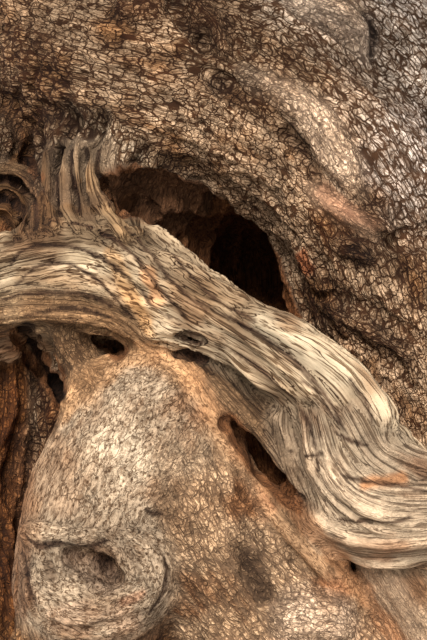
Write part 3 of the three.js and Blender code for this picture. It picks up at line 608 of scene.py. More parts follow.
SUNK_FORMS = [
    # a crease and a slit at the right
    ("bark", 14, [(392, 244, 14, 0.0), (408, 240, 24, 0.0), (430, 238, 30, 0.0)]),
    ("bark", 10, [(350, 252, 9, 0.6), (360, 254, 9, 0.6)]),
    # dimples and creases of the arch
    ("bark", 10, [(266, 106, 10, 0.2), (284, 136, 20, 0.0), (302, 166, 24, -0.1),
        (326, 192, 16, 0.1)]),
    ("crease", 6, [(272, 108, 3, 0.1), (294, 132, 6, -0.3), (308, 158, 8, -0.5), (322, 184, 6, -0.3),
        (334, 196, 3, 0.1)]),
    ("crease", 5, [(364, 14, 3, 0.1), (374, 32, 6, -0.2), (372, 54, 4, 0.0)]),
    ("bark", 14, [(170, -8, 20, 0.0), (178, 10, 26, -0.4), (184, 26, 16, 0.0)]),
    ("bark", 12, [(192, 34, 12, 0.1), (202, 42, 20, -0.3), (206, 54, 10, 0.1)]),
    ("bark", 18, [(44, 106, 14, 0.3), (62, 118, 24, 0.0), (86, 132, 14, 0.3)]),
    ("bark", 14, [(208, 72, 10, 0.2), (222, 84, 18, -0.1), (236, 100, 10, 0.2)]),
    ("bark", 12, [(226, 18, 8, 0.2), (238, 40, 12, 0.1), (262, 62, 8, 0.2)]),
    ("bark", 12, [(20, 34, 8, 0.2), (32, 62, 14, 0.1), (30, 92, 10, 0.2)]),
    ("bark", 10, [(306, 296, 7, 0.2), (340, 300, 10, 0.0), (376, 314, 12, 0.0), (430, 346, 9, 0.2)]),
    ("bark", 10, [(330, 330, 7, 0.2), (372, 356, 11, 0.0), (430, 400, 9, 0.2)]),
    ("bark", 10, [(286, 226, 7, 0.2), (306, 246, 10, 0.0), (322, 280, 8, 0.2)]),
    # gaps between the ribs of that dead wood, and in its swirl
    ("crease", 3, [(99, 150, 5, 0.0), (99, 180, 6, -0.2), (109, 208, 5, 0.0)]),
    ("crease", 3, [(85, 150, 5, 0.0), (86, 180, 6, -0.2), (94, 210, 5, 0.0)]),
    ("crease", 3, [(71, 150, 5, 0.0), (73, 180, 6, -0.2), (78, 210, 5, 0.0)]),
    ("crease", 4, [(56, 150, 6, 0.0), (58, 180, 8, -0.2), (60, 212, 6, 0.0)]),
    ("crease", 4, [(-10, 181, 6, 0.2), (10, 178, 8, -0.2), (27, 188, 9, -0.2), (35, 206, 9, -0.2),
        (34, 226, 8, 0.2)]),
    ("crease", 4, [(-10, 200, 6, 0.2), (4, 198, 8, -0.1), (17, 206, 8, -0.1), (24, 222, 6, 0.2)]),
    ("crease", 4, [(28, 160, 7, 0.0), (40, 172, 9, -0.2), (44, 192, 6, 0.1)]),
    # cracks along that bark, and the gaps round the prop
    ("crack", 3, [(0, 300, 2, 0.1), (44, 292, 4, 0.0), (92, 296, 4, 0.0), (128, 316, 2, 0.1)]),
    ("crack", 3, [(24, 316, 2, 0.1), (70, 308, 4, 0.0), (110, 318, 2, 0.1)]),
    ("hollow", 10, [(22, 336, 22, 0.4), (34, 356, 30, 0.2), (48, 378, 30, 0.2), (58, 402, 20, 0.4)]),
    ("hollow", 9, [(98, 338, 16, 0.2), (110, 344, 20, 0.2), (118, 352, 14, 0.4)]),
    # the weathered strand's cracks, and two holes under it
    ("crack", 5, [(66, 242, 2.5, 0.2), (84, 249, 3.7, 0.1), (98, 255, 5, 0.0), (114, 266, 4.3, 0.0),
        (130, 280, 2.5, 0.2)]),
    ("crack", 4, [(14, 284, 2.5, 0.2), (40, 264, 3.7, 0.1), (74, 266, 3.7, 0.1), (104, 286, 3.7, 0.1),
        (132, 318, 2.5, 0.2)]),
    ("crack", 4, [(44, 222, 2.5, 0.2), (88, 226, 4.3, 0.1), (128, 250, 4.3, 0.1),
        (158, 286, 4.3, 0.1), (184, 316, 2.5, 0.2)]),
    ("crack", 4, [(8, 262, 2.5, 0.2), (34, 244, 3.7, 0.1), (66, 242, 2.5, 0.1)]),
    ("crack", 4, [(126, 226, 1.9, 0.2), (152, 254, 3.1, 0.1), (178, 288, 3.1, 0.1),
        (208, 312, 1.9, 0.2)]),
    ("crack", 5, [(214, 346, 1.9, 0.2), (250, 362, 3.7, 0.1), (286, 392, 3.7, 0.1),
        (308, 430, 3.1, 0.1), (318, 470, 1.9, 0.2)]),
    ("crack", 4, [(262, 338, 1.9, 0.2), (300, 366, 3.1, 0.1), (330, 402, 3.1, 0.1),
        (344, 430, 1.9, 0.2)]),
    ("crack", 3, [(150, 232, 1.5, 0.1), (180, 266, 2.5, 0.0), (216, 300, 2.5, 0.0),
        (256, 322, 1.5, 0.1)]),
    ("crack", 3, [(132, 282, 1.5, 0.1), (150, 302, 3.1, 0.0), (170, 318, 1.5, 0.1)]),
    ("crack", 3, [(4, 244, 1.5, 0.1), (30, 234, 2.5, 0.0), (62, 230, 1.5, 0.1)]),
    ("crack", 3, [(350, 380, 1.5, 0.1), (366, 402, 2.5, 0.0), (374, 424, 1.5, 0.1)]),
    ("crack", 4, [(179, 337, 9, -0.6), (190, 336, 15, -1.0), (202, 340, 8, -0.6)]),
    ("crack", 4, [(184, 337, 8, -3.0), (192, 338, 13, -3.0), (200, 341, 8, -3.0)]),
    ("crack", 6, [(178, 354, 10, -0.5), (190, 356, 15, -0.9), (202, 358, 9, -0.5)]),
    ("crack", 4, [(196, 300, 1.9, 0.2), (230, 318, 3.1, 0.2), (268, 340, 3.1, 0.2),
        (300, 368, 3.1, 0.2), (322, 400, 1.9, 0.2)]),
    # the dark gap under the lower band, and the band's cross crack
    ("hollow", 8, [(230, 424, 18, 0.0), (247, 442, 32, -0.7), (266, 464, 34, -0.8),
        (284, 486, 28, -0.7), (300, 506, 14, 0.0)]),
    ("hollow", 8, [(236, 424, 20, -2.2), (252, 442, 36, -2.0), (272, 466, 38, -2.0),
        (290, 490, 26, -2.0)]),
    ("crack", 4, [(290, 452, 2.5, 0.2), (304, 456, 3.7, 0.2), (320, 454, 2.5, 0.2)]),
    # cracks in the knuckle
    ("crack", 4, [(336, 433, 1.5, 0.0), (350, 441, 3.7, -0.2), (368, 446, 1.5, 0.0)]),
    ("crack", 3, [(322, 402, 1.5, 0.0), (334, 418, 2.5, -0.1), (344, 430, 1.5, 0.0)]),
    ("crack", 3, [(302, 380, 1.5, 0.0), (318, 392, 2.5, -0.1), (328, 408, 1.5, 0.0)]),
    ("crack", 5, [(344, 476, 2.5, 0.1), (370, 482, 3.7, 0.1), (400, 486, 3.1, 0.1),
        (436, 494, 2.5, 0.1)]),
    ("crack", 4, [(340, 520, 2.5, 0.1), (372, 522, 3.7, 0.1), (410, 518, 2.5, 0.1)]),
    # creases and the eye of the knot at the burl's foot
    ("crease", 5, [(26, 538, 3, 0.2), (38, 547, 7, -0.1), (56, 545, 6, 0.0), (72, 551, 8, -0.2),
        (92, 549, 7, -0.1), (106, 541, 4, 0.2)]),
    ("dimple", 7, [(68, 554, 15, -0.3), (84, 560, 25, -0.6), (102, 568, 28, -0.7),
        (114, 579, 22, -0.7)]),
    ("dimple", 8, [(92, 562, 10, -2.0), (104, 568, 17, -2.0), (116, 579, 14, -2.2)]),
    ("dimple", 9, [(96, 558, 10, -3.0), (107, 566, 15, -2.6), (116, 578, 13, -2.8)]),
    ("dimple", 6, [(43, 556, 8, -0.1), (48, 569, 13, -0.4), (56, 585, 8, -0.1)]),
    ("crease", 7, [(20, 548, 6, 0.0), (25, 576, 9, -0.1), (32, 604, 7, 0.0)]),
    ("crease", 4, [(146, 510, 2, 0.0), (153, 514, 5, -0.3), (164, 514, 2, 0.2)]),
    ("crease", 5, [(164, 556, 2, 0.2), (168, 576, 6, -0.1), (163, 596, 5, -0.1), (150, 614, 3, 0.1)]),
    ("dimple", 9, [(30, 600, 8, 0.3), (42, 621, 13, 0.0), (68, 632, 15, -0.2), (98, 631, 14, -0.2),
        (126, 622, 11, 0.0), (146, 610, 8, 0.3)]),
    ("crease", 4, [(36, 616, 4, 0.1), (58, 629, 6, -0.2), (84, 634, 5, 0.0)]),
    ("crease", 4, [(108, 630, 4, 0.1), (130, 621, 6, -0.2), (148, 610, 4, 0.1)]),
    # a dimple in the bark slope at the lower right
    ("dimple", 26, [(246, 552, 18, 0.4), (256, 572, 26, 0.3), (262, 592, 18, 0.4)]),
]
# The deep slit at the prop's left: places seen in the frame, as x, y in pixels and the radius in
# mm, and the y in mm at which it begins and ends.
SLIT = [(25, 331, 8), (34, 344, 14), (45, 361, 18), (54, 378, 18), (62, 397, 9)]
SLIT_START, SLIT_END, SLIT_STEP, SLIT_BLEND = -660, -420, 20, 6.0


def far_strands():
    """The strands of the trunk's sides and back, by a seeded rule."""
    dice = Dice(11)
    made = []
    for k in range(FAR_STRANDS["count"]):
        share = k / (FAR_STRANDS["count"] - 1)
        start = mix(FAR_STRANDS["from"], FAR_STRANDS["to"], share) + dice.between(-5, 5)
        girth = FAR_STRANDS["radius"] * dice.between(0.85, 1.15)
        points = []
        for z, reach, swell in FAR_LEVELS:
            angle = start + FAR_STRANDS["lean"] * z / 1000 + dice.between(-4, 4)
            out = reach * dice.between(0.94, 1.06)
            angle = math.radians(angle)
            points.append((out * math.cos(angle), out * math.sin(angle), z, girth * swell))
        made.append(points)
    return made


# The crown's plan, by the same seeded rule as the solids
def mass_places():
    """Where the masses of foliage lie, by the seeded rule."""
    dice = Dice(5)
    places = []
    for ring, (count, first, stray, share, reach, height, rise) in RINGS.items():
        for k in range(count):
            turn = math.radians(first + 360 * k / count + dice.between(-stray, stray))
            out = CROWN_REACH * share * dice.between(*reach)
            middle = (out * math.cos(turn), out * math.sin(turn), height + dice.between(*rise))
            places.append({"c": middle, "ring": ring, "turn": turn})
    places.append({"c": TOP_MASS, "ring": "top", "turn": 0.0})
    for place in places:
        place["c"] = np.array(place["c"], float)
        place["swell"] = dice.between(0.92, 1.08)
    return places


def turn_gap(a, b):
    """How far apart two masses lie round the trunk. The top one lies over them all."""
    if b["ring"] == "top":
        return 0
    gap = abs(a["turn"] - b["turn"]) % (2 * math.pi)
    return min(gap, 2 * math.pi - gap)


def crooked_line(start, set_off, end, radii, bend, dice):
    """A limb's points and radii from start to end, jogged sideways by the seeded rule."""
    length = np.linalg.norm(end - start)
    points = []
    for i, radius in enumerate(radii):
        t = i / (len(radii) - 1)
        lift = set_off * (length * 0.8 * t * (1 - t) * (1 - t))
        stray = 0 if i in (0, len(radii) - 1) else bend
        jog = np.array([dice.between(-1, 1), dice.between(-1, 1), dice.between(-1, 1)])
        points.append((*(mix(start, end, t) + lift + jog * stray), radius))
    return points


def grow_limbs(places):
    """Six boughs from the trunk's forks, and an upper bough from each, up into the masses."""
    dice = Dice(23)
    limbs = []

    def entry(place, start):
        return place["c"] + unit(start - place["c"]) * MASS_RADIUS * MASS_ENTRY * place["swell"]

    for place in [q for q in places if q["ring"] == "outer"]:
        out = np.array([math.cos(place["turn"]), math.sin(place["turn"]), 0])
        start = out * BOUGH_OUT + np.array([*TRUNK_AXIS, BOUGH_HEIGHT])
        end = entry(place, start + np.array([0, 0, 600]))
        set_off = out * 0.1 + np.array([0, 0, 1.0])
        points = crooked_line(start, set_off, end, BOUGH_RADII, BOUGH_JOG, dice)
        limbs.append({"name": f"bough_{len(limbs) + 1}", "points": points, "place": place})
    boughs = list(limbs)
    taken = set()
    for k, place in enumerate([q for q in places if q["ring"] != "outer"]):
        free = [n for n in range(len(boughs)) if n not in taken]
        n = min(free, key=lambda q: turn_gap(boughs[q]["place"], place))
        taken.add(n)
        line, radii = smooth_path(boughs[n]["points"], LIMB_STEPS)
        at = math.floor(len(line) * UPPER_START + 0.5)
        start, thick = line[at], radii[at] * UPPER_SHARE
        radii = [*(thick * share for share in UPPER_TAPER), UPPER_TIP_RADIUS]
        end = entry(place, start)
        points = crooked_line(start, np.array([0, 0, 1.0]), end, radii, UPPER_JOG, dice)
        limbs.append({"name": f"upper_bough_{k + 1}", "points": points, "place": place})
    for limb in limbs:
        limb["path"] = smooth_path(limb["points"], LIMB_STEPS)
    return limbs


places = mass_places()
limbs = grow_limbs(places)

# All the wood as one body
wood = Wood()
wood.add(CORE, "core")
for points in CAVITIES:
    wood.cut(points, "hollow")
for name, points in BARK_STRANDS.items():
    wood.add(points, name)
for points in far_strands():
    wood.add(points, "far")
for limb in limbs:
    wood.add(None, "limb", LIMB_BLEND, path=limb["path"], owner=limb["name"])
for points in MOUTH:
    wood.cut(points, "hollow", MOUTH_BLEND)
wood.add(BURL, "burl", BURL_BLEND, owner="burl")
wood.add(LOWER_BAND, "band", BAND_BLEND, owner="lower_band")
wood.add(WEATHERED_STRAND, "weathered", WEATHERED_BLEND, owner="weathered_strand")
# Raised forms are laid on the grown wood first, and the cuts are then sunk in what shows.
for stage, forms in (("add", RAISED_FORMS), ("cut", SUNK_FORMS)):
    far_forms(wood, stage, Dice(77))
    lines = [np.array(line, float) for _, _, line in forms]
    spots, rays = skin_places(wood, np.concatenate(lines)[:, :2])
    ends = np.cumsum([len(line) for line in lines])[:-1]
    lay = wood.add if stage == "add" else wood.cut
    for form, line, spot, ray in zip(forms, lines, np.split(spots, ends), np.split(rays, ends)):
        middle = spot - ray * (line[:, 2] * line[:, 3])[:, None]
        lay(np.column_stack([middle, line[:, 2]]), form[0], float(form[1]))
slit = np.array(SLIT, float)
for y in range(SLIT_START, SLIT_END + 1, SLIT_STEP):
    away = (y - CAMERA[1]) / 1000
    x = CAMERA[0] + (slit[:, 0] - FRAME_WIDTH / 2) * away
    z = CAMERA[2] - (slit[:, 1] - FRAME_HEIGHT / 2) * away
    wood.cut(np.column_stack([x, np.full(len(x), y), z, slit[:, 2]]), "hollow", SLIT_BLEND)

# What grows on each kind of strand: the colour of its raised parts and a colour mixed in by
# patches, the amounts of bark plates, long grain and fine pits, the height of lumps, cords and
# plates in mm, and how open the bark's cracks are.
KIND_FIELDS = ("tone", "second", "plates", "grain", "pits", "lumps", "cords", "cells", "open")
KIND_ROWS = {
    "core": ((190, 164, 136), (152, 122, 92), 1.0, 0.1, 0.1, 14, 10, 6, 0.4),
    "arch": ((200, 168, 136), (160, 118, 80), 1.0, 0.0, 0.1, 15, 8, 6, 0.12),
    "brow": ((240, 220, 200), (206, 178, 150), 1.0, 0.05, 0.1, 16, 9, 6, 0.38),
    "far": ((196, 174, 148), (156, 130, 102), 1.0, 0.1, 0.1, 24, 20, 7, 0.5),
    "limb": ((176, 156, 130), (140, 116, 90), 0.9, 0.2, 0.1, 10, 9, 3, 0.4),
    "shoulder": ((204, 172, 138), (158, 114, 78), 0.75, 0.2, 0.4, 12, 7, 4, 0.35),
    "smooth_root": ((182, 154, 126), (132, 98, 70), 0.4, 0.25, 0.3, 6, 3, 0.5, 0.1),
    "prop": ((164, 130, 96), (122, 88, 58), 0.8, 0.3, 0.2, 8, 7, 4, 0.4),
    "flank": ((146, 100, 58), (104, 64, 34), 0.8, 0.5, 0.1, 10, 14, 5, 0.5),
    "foot": ((160, 120, 82), (116, 78, 48), 0.8, 0.4, 0.1, 10, 10, 5, 0.5),
    "burl": ((178, 156, 131), (148, 118, 91), 0.2, 0.08, 1.0, 8, 3, 2, 0.2),
    "band": ((112, 88, 64), (88, 62, 42), 0.5, 0.7, 0.1, 5, 6, 2, 0.3),
    "layered": ((164, 136, 104), (120, 90, 62), 0.5, 0.75, 0.2, 10, 14, 3, 0.4),
    "fan": ((128, 96, 62), (84, 58, 36), 0.0, 1.0, 0.0, 4, 6, 0, 0.2),
    "knuckle": ((186, 164, 138), (150, 118, 92), 0.15, 0.74, 0.3, 8, 6, 1, 0.3),
    "weathered": ((180, 159, 131), (128, 101, 75), 0.0, 1.0, 0.05, 8, 11, 0, 0.2),
    "pale": ((246, 216, 186), (208, 176, 146), 0.7, 0.1, 0.6, 6, 3, 2, 0.1),
    "callus": ((204, 162, 130), (178, 126, 96), 0.35, 0.2, 0.4, 5, 3, 1.5, 0.2),
    "rim": ((198, 158, 120), (178, 128, 92), 0.15, 0.1, 0.8, 5, 2, 1, 0.0),
    "bark": ((170, 134, 102), (130, 96, 68), 1.0, 0.1, 0.3, 6, 5, 4, 0.6),
}
KINDS = {name: dict(zip(KIND_FIELDS, row)) for name, row in KIND_ROWS.items()}
KIND_NAMES = list(KINDS)
# Brown of the hollow's walls: partly their own colour, partly painted shade
HOLLOW_TONE_AND_SHADE = srgb((126, 82, 50))
HOLLOW_AMOUNTS = np.array([0.35, 0.7, 0.1, 0.4])  # plates, grain, pits and how open the cracks are
# Painted shade in the cracks, creases and holes that are cut, and in the deep slit
CREVICE_PAINTED_SHADE = srgb((56, 36, 24))
SLIT_PAINTED_SHADE = srgb((44, 28, 18))
# Tints that have a place: a line of places seen in the frame, its width in pixels, the
# colour, and its strength.
# Some of these are painted shade, each marked where it stands.
TINTS_AND_PAINTED_SHADE = [
    ([(408, 10), (418, 160)], 46, (226, 214, 206), 0.75),
    ([(290, 6), (400, 60)], 40, (226, 208, 190), 0.6),
    ([(350, 90), (420, 220)], 30, (222, 200, 180), 0.5),
    # The next seven are painted shade: the shadow under the brow of the knot at the burl's foot, and
    # shade in the arch's knot holes and dimples, a dimple by the knot's eye, the hole under the
    # weathered strand and the groove below the pale ridge
    ([(68, 552), (98, 556)], 5, (92, 70, 54), 0.55),
    ([(178, 8), (186, 24), (204, 44)], 8, (92, 66, 46), 0.6),
    ([(46, 562), (52, 578)], 4, (96, 72, 54), 0.6),
    ([(184, 355), (198, 357)], 4, (60, 42, 30), 0.8),
    ([(56, 114), (84, 130)], 10, (100, 72, 50), 0.6),
    ([(216, 78), (234, 98)], 8, (104, 76, 54), 0.6),
    ([(284, 130), (326, 190)], 6, (110, 80, 56), 0.6),
    ([(0, 250), (100, 216), (170, 262), (250, 322)], 24, (112, 90, 66), 0.65),
    ([(50, 248), (110, 262), (160, 310)], 9, (190, 168, 136), 0.6),
    ([(250, 350), (300, 400)], 14, (150, 130, 104), 0.5),
    ([(10, 20), (20, 120)], 50, (140, 104, 72), 0.5),
    ([(302, 256), (306, 268)], 8, (190, 110, 66), 0.8),
    ([(322, 192), (372, 224)], 9, (206, 154, 122), 0.45),
    # Painted shade in the slit at the right
    ([(356, 250), (360, 256)], 12, (84, 60, 42), 0.7),
    ([(20, 190), (40, 240)], 30, (104, 72, 46), 0.7),
    ([(98, 172), (102, 190), (126, 234)], 9, (170, 136, 98), 0.5),
    ([(30, 160), (38, 178)], 5, (170, 104, 60), 0.6),
    ([(20, 276), (110, 282), (150, 316)], 9, (128, 98, 68), 0.6),
    ([(146, 272), (158, 300)], 8, (190, 132, 84), 0.6),
    ([(40, 306), (130, 326)], 24, (150, 112, 76), 0.6),
    ([(365, 484), (404, 478)], 7, (196, 130, 78), 0.7),
    ([(60, 410), (84, 384), (112, 362), (150, 354), (188, 376)], 17, (200, 154, 110), 0.7),
    # Painted shade in the eye of the knot
    ([(100, 560), (116, 578)], 9, (62, 42, 30), 0.9),
    ([(188, 376), (215, 412), (250, 456), (272, 484)], 12, (194, 146, 104), 0.7),
    ([(272, 484), (330, 552), (396, 640)], 11, (184, 130, 88), 0.6),
    ([(30, 440), (26, 540)], 16, (170, 134, 102), 0.6),
    ([(44, 430), (62, 500)], 20, (158, 126, 98), 0.5),
    ([(150, 486), (178, 522)], 12, (158, 118, 84), 0.5),
    ([(110, 420), (130, 470)], 24, (226, 206, 178), 0.4),
    ([(260, 326), (340, 376)], 12, (200, 182, 154), 0.6),
    ([(250, 330), (310, 400)], 8, (142, 124, 100), 0.4),
    ([(108, 250), (150, 330)], 8, (196, 146, 92), 0.45),
    ([(124, 604), (142, 594)], 6, (178, 122, 90), 0.5),
    ([(70, 560), (104, 582)], 15, (124, 102, 84), 0.7),
    ([(60, 616), (130, 620)], 14, (190, 156, 128), 0.5),
    ([(40, 160), (62, 186), (80, 204)], 20, (74, 52, 36), 0.6),
    ([(40, 374), (50, 430)], 12, (96, 66, 40), 0.7),
    ([(16, 334), (36, 372), (54, 412)], 6, (146, 98, 58), 0.5),
    # Painted shade in the dimple of the bark slope
    ([(248, 556), (262, 588)], 14, (84, 60, 42), 0.75),
    ([(190, 500), (240, 630)], 30, (178, 144, 110), 0.5),
    ([(240, 330), (300, 470)], 16, (104, 78, 54), 0.4),
    ([(4, 350), (14, 600)], 22, (110, 66, 34), 0.6),
]
# Where the bark's cracks are more open or tighter than on the rest of its kind: a line of places
# seen in the frame, its width in pixels, and how open they are.
OPENINGS = [
    ([(250, 60), (340, 60), (420, 200)], 60, 0.42),
    ([(20, 60), (60, 120)], 40, 0.7),
    ([(180, -10), (200, 50)], 22, 0.8),
    ([(330, 230), (400, 250)], 30, 0.6),
    ([(320, 300), (400, 330)], 30, 0.5),
    ([(240, 560), (260, 600)], 26, 0.9),
    ([(190, 620), (250, 630)], 30, 0.6),
]


def line_distance(spot, line):
    """How far flat places are from a line of places."""
    away = np.full(len(spot), 1e6)
    for a, b in zip(np.array(line[:-1], float), np.array(line[1:], float)):
        t = np.clip((spot - a) @ (b - a) / ((b - a) @ (b - a)), 0, 1)
        away = np.minimum(away, np.linalg.norm(spot - a - t[:, None] * (b - a), axis=1))
    return away


def measure(p):
    """The two nearest strands of each place, with the place's coordinates on them."""
    n = len(p)
    gap = np.full((2, n), 1e6)
    who = np.zeros((2, n), int)
    coords = np.zeros((2, n, 3))
    hollow = np.full(n, 1e6)
    crevice = np.full(n, 1e6)
    for k, (act, strand) in enumerate(wood.steps):
        near = np.flatnonzero(((p > strand.low) & (p < strand.high)).all(1))
        if not len(near):
            continue
        near = near[strand.distance(p[near].astype(np.float32)) < LOOK_REACH]
        if act == "cut":
            cut = {"hollow": hollow, "crack": crevice, "crease": crevice}.get(strand.kind)
            if cut is not None:
                cut[near] = np.minimum(cut[near], strand.distance(p[near].astype(np.float32)))
            continue
        d, c = strand.coordinates(p[near])
        c[:, 0] += STRAND_SHIFT * k
        first = d < gap[0, near]
        second = ~first & (d < gap[1, near])
        for kept in (gap, who, coords):
            kept[1, near[first]] = kept[0, near[first]]
        for rank, better in enumerate((first, second)):
            moved = near[better]
            gap[rank, moved], who[rank, moved], coords[rank, moved] = d[better], k, c[better]
    return gap, who, coords, hollow, crevice


def kind_values(which, name):
    """A value of the kinds of wood, for places of these kinds."""
    table = np.array([np.ravel(KINDS[k][name]) for k in KIND_NAMES], float)
    return table[which]


# Patterns of the relief: length along the strand and width across it, in mm
RELIEF = {
    "cord": (240, 42), "flake": (34, 19), "plate": (38, 23), "wave": (110, 70), "line": (520, 11),
    "groove": (420, 21), "layer": (460, 27),
}


def stretch(c, pattern, stray=0.0):
    """Coordinates on a strand in units of a pattern's length and width."""
    length, width = RELIEF[pattern]
    return np.stack([c[:, 0] / length, (c[:, 1] + stray) / width, (c[:, 2] + stray) / width], 1)


def relief(kind, c, p):
    """Height in mm of the bark's or the bare wood's relief, for kinds and coordinates."""
    lumps, cords, cells, grain = (
        kind_values(kind, name)[:, 0] for name in ("lumps", "cords", "cells", "grain")
    )
    warp = 16 * noise(p / 75.0, 31)
    height = lumps * rough_noise(p / 125.0, 3)
    height += cords * (sharp(1.7 * noise(stretch(c, "cord", warp), 11)) - 0.5) * 1.4
    height += 1.3 * cells * (sharp(1.8 * noise(stretch(c, "flake", warp), 19)) - 0.5)
    bent = c + np.stack([warp, warp * 0.4, 0 * warp], 1)
    height -= cells * (1 - ramp(cell_edges(stretch(bent, "plate"), 17), 0.02, 0.2))
    wave = 12 * noise(stretch(c, "wave"), 41)
    lines = noise(stretch(c, "line", wave), 43)
    grooves = noise(stretch(c, "groove", wave), 47)
    layers = np.maximum(sharp(3.0 * noise(stretch(c, "layer", wave), 59)), -0.3) - 0.4
    height += grain * (1.6 * lines + 2.4 * grooves + 14 * layers)
    crack = (1 - ramp(np.abs(grooves + 0.15), 0.0, 0.12)) * ramp(noise(p / 90.0, 53), -0.1, 0.3)
    height -= 9 * ramp(grain, 0.5, 0.9) * crack
    return height, lines, crack


def vertex_normals(p, faces):
    """Normals of a skin of four-sided faces, at its places."""
    flat = np.cross(p[faces[:, 2]] - p[faces[:, 0]], p[faces[:, 3]] - p[faces[:, 1]])
    normals = np.zeros_like(p)
    for k in range(4):
        for axis in range(3):
            normals[:, axis] += np.bincount(faces[:, k], flat[:, axis], len(p))
    return unit(normals)


def eased(p, faces, share):
    """Each place moved by a share of the way to the mean of its neighbours."""
    sums = np.zeros_like(p)
    count = np.zeros(len(p))
    for k in range(4):
        a, b = faces[:, k], faces[:, (k + 1) % 4]
        for one, other in ((a, b), (b, a)):
            count += np.bincount(one, minlength=len(p))
            for axis in range(3):
                sums[:, axis] += np.bincount(one, p[other, axis], len(p))
    return mix(p, sums / np.maximum(count, 1)[:, None], share)


def in_threads(action, *arrays):
    """action on slices of the arrays, side by side, with what it returns joined again."""
    count = len(arrays[0])
    cuts = np.array_split(np.arange(count), max(THREADS, count // SLICE))
    with ThreadPoolExecutor(THREADS) as pool:
        made = list(pool.map(lambda i: action(*[a[i] for a in arrays]), cuts))
    return [np.concatenate([m[k] for m in made], axis=-1 if made[0][k].ndim == 1 else 0)
            for k in range(len(made[0]))]


def dress(p, faces):
    """Raises the relief on the skin and works out its colour, coordinates and amounts."""
    normals = vertex_normals(p, faces)
    raised, who, coords, tone, amounts = in_threads(dress_places, p, normals)
    low = raised[:, 2].copy()
    for share in EASING:
        raised = eased(raised, faces, share)
    raised[low <= 0, 2] = 0
    return raised, who.T, np.moveaxis(coords, 1, 0), tone, amounts


def dress_places(p, normals):
    """The same for places and their normals alone, without the easing."""
    gap, who, coords, hollow, crevice = measure(p)
    kinds = np.array([KIND_NAMES.index(s.kind) if s.kind in KINDS else 0 for _, s in wood.steps])
    kind = kinds[who]
    part = 0.5 * (1 - ramp(gap[1] - gap[0], 0, MIX_REACH))
    total = np.zeros(len(p))
    tone = np.zeros((len(p), 3))
    amounts = np.zeros((len(p), 4))
    for rank, weight in ((0, 1 - part), (1, part)):
        height, lines, crack = relief(kind[rank], coords[rank], p)
        total += weight * height
        first = srgb(kind_values(kind[rank], "tone"))
        second = srgb(kind_values(kind[rank], "second"))
        patch = ramp(rough_noise(p / 95.0, 61) + 0.25 * lines, -0.1, 0.55)
        colour = mix(first, second, patch[:, None])
        # Painted shade in the sunk cracks of the bare wood
        colour *= (1 - 0.5 * crack * kind_values(kind[rank], "grain")[:, 0])[:, None]
        tone += weight[:, None] * colour
        amounts += weight[:, None] * np.concatenate(
            [kind_values(kind[rank], n) for n in ("plates", "grain", "pits", "open")], 1
        )
    u, v = frame_place(p)
    spot = np.stack([u, v], 1)
    past = np.maximum(np.abs(u - FRAME_WIDTH / 2) - FRAME_WIDTH / 2, v - FRAME_HEIGHT)
    outside = ramp(past, 0, 80)
    outside *= kind_values(kind[0], "plates")[:, 0]
    sides = np.maximum(ramp(p[:, 1], -60, 260), ramp(normals[:, 1], 0.1, 0.6))
    sides = np.maximum(sides, outside)[:, None]
    far_tone = mix(srgb(KINDS["far"]["tone"]), srgb(KINDS["far"]["second"]),
                   ramp(rough_noise(p / 95.0, 61), -0.1, 0.55)[:, None])
    tone = mix(tone, far_tone, FAR_SHARE * sides)
    front = (p[:, 1] < FRONT).astype(float)
    for line, width, colour, share in TINTS_AND_PAINTED_SHADE:
        away = line_distance(spot, line)
        away += 0.45 * width * noise(p / (1.6 * width + 12), 67)
        near = share * front * (1 - ramp(away, 0.45 * width, 1.25 * width))
        tone = mix(tone, srgb(colour), near[:, None])
    core = kind[0] == KIND_NAMES.index("core")
    bare = kind_values(kind[0], "grain")[:, 0] > 0.7
    # Browner deep in the hollow: partly the wood's own colour, partly painted shade
    deep = np.where(core, 1 - ramp(hollow, 6, 60), 0.9 * (1 - ramp(hollow, 2, 12)))
    deep = np.where(bare, 0.3 * deep, deep)
    tone = mix(tone, HOLLOW_TONE_AND_SHADE, deep[:, None])
    # Painted shade in the deep slit
    in_slit = front * (1 - ramp(line_distance(spot, slit[:, :2]), 3, 7.5))
    tone = mix(tone, SLIT_PAINTED_SHADE, SLIT_SHADE_SHARE * in_slit[:, None])
    amounts = mix(amounts, HOLLOW_AMOUNTS, HOLLOW_SHARE * deep[:, None])
    for line, width, value in OPENINGS:
        near = front * (1 - ramp(line_distance(spot, line), 0.5 * width, 1.2 * width))
        amounts[:, 3] = mix(amounts[:, 3], value, near)
    ribs = sharp(1.6 * noise(np.stack([p[:, 2] / 420, p[:, 0] / 30, p[:, 1] / 60], 1), 71))
    total += deep * RIB_HEIGHT * (ribs - 0.5)
    # Painted shade in the crease where two strands have grown together
    crease = 1 - ramp(gap[1] - gap[0], 0, CREASE_SHADE_REACH)
    tone *= (1 - 0.3 * crease)[:, None]
    # Painted shade in the cut cracks, creases and holes
    tone = mix(tone, CREVICE_PAINTED_SHADE, CRACK_SHADE_SHARE * (1 - ramp(crevice, -1, 3.5))[:, None])
    # Painted shade where the relief is sunk and painted light where it stands out
    tone *= mix(0.62, 1.16, ramp(total, -11, 9))[:, None]
    tone *= (1 + 0.3 * rough_noise(p / 34.0, 73))[:, None]
    p = p + normals * total[:, None]
    p[:, 2] = np.maximum(p[:, 2], 0)
    return p, who.T, np.moveaxis(coords, 0, 1), tone, amounts


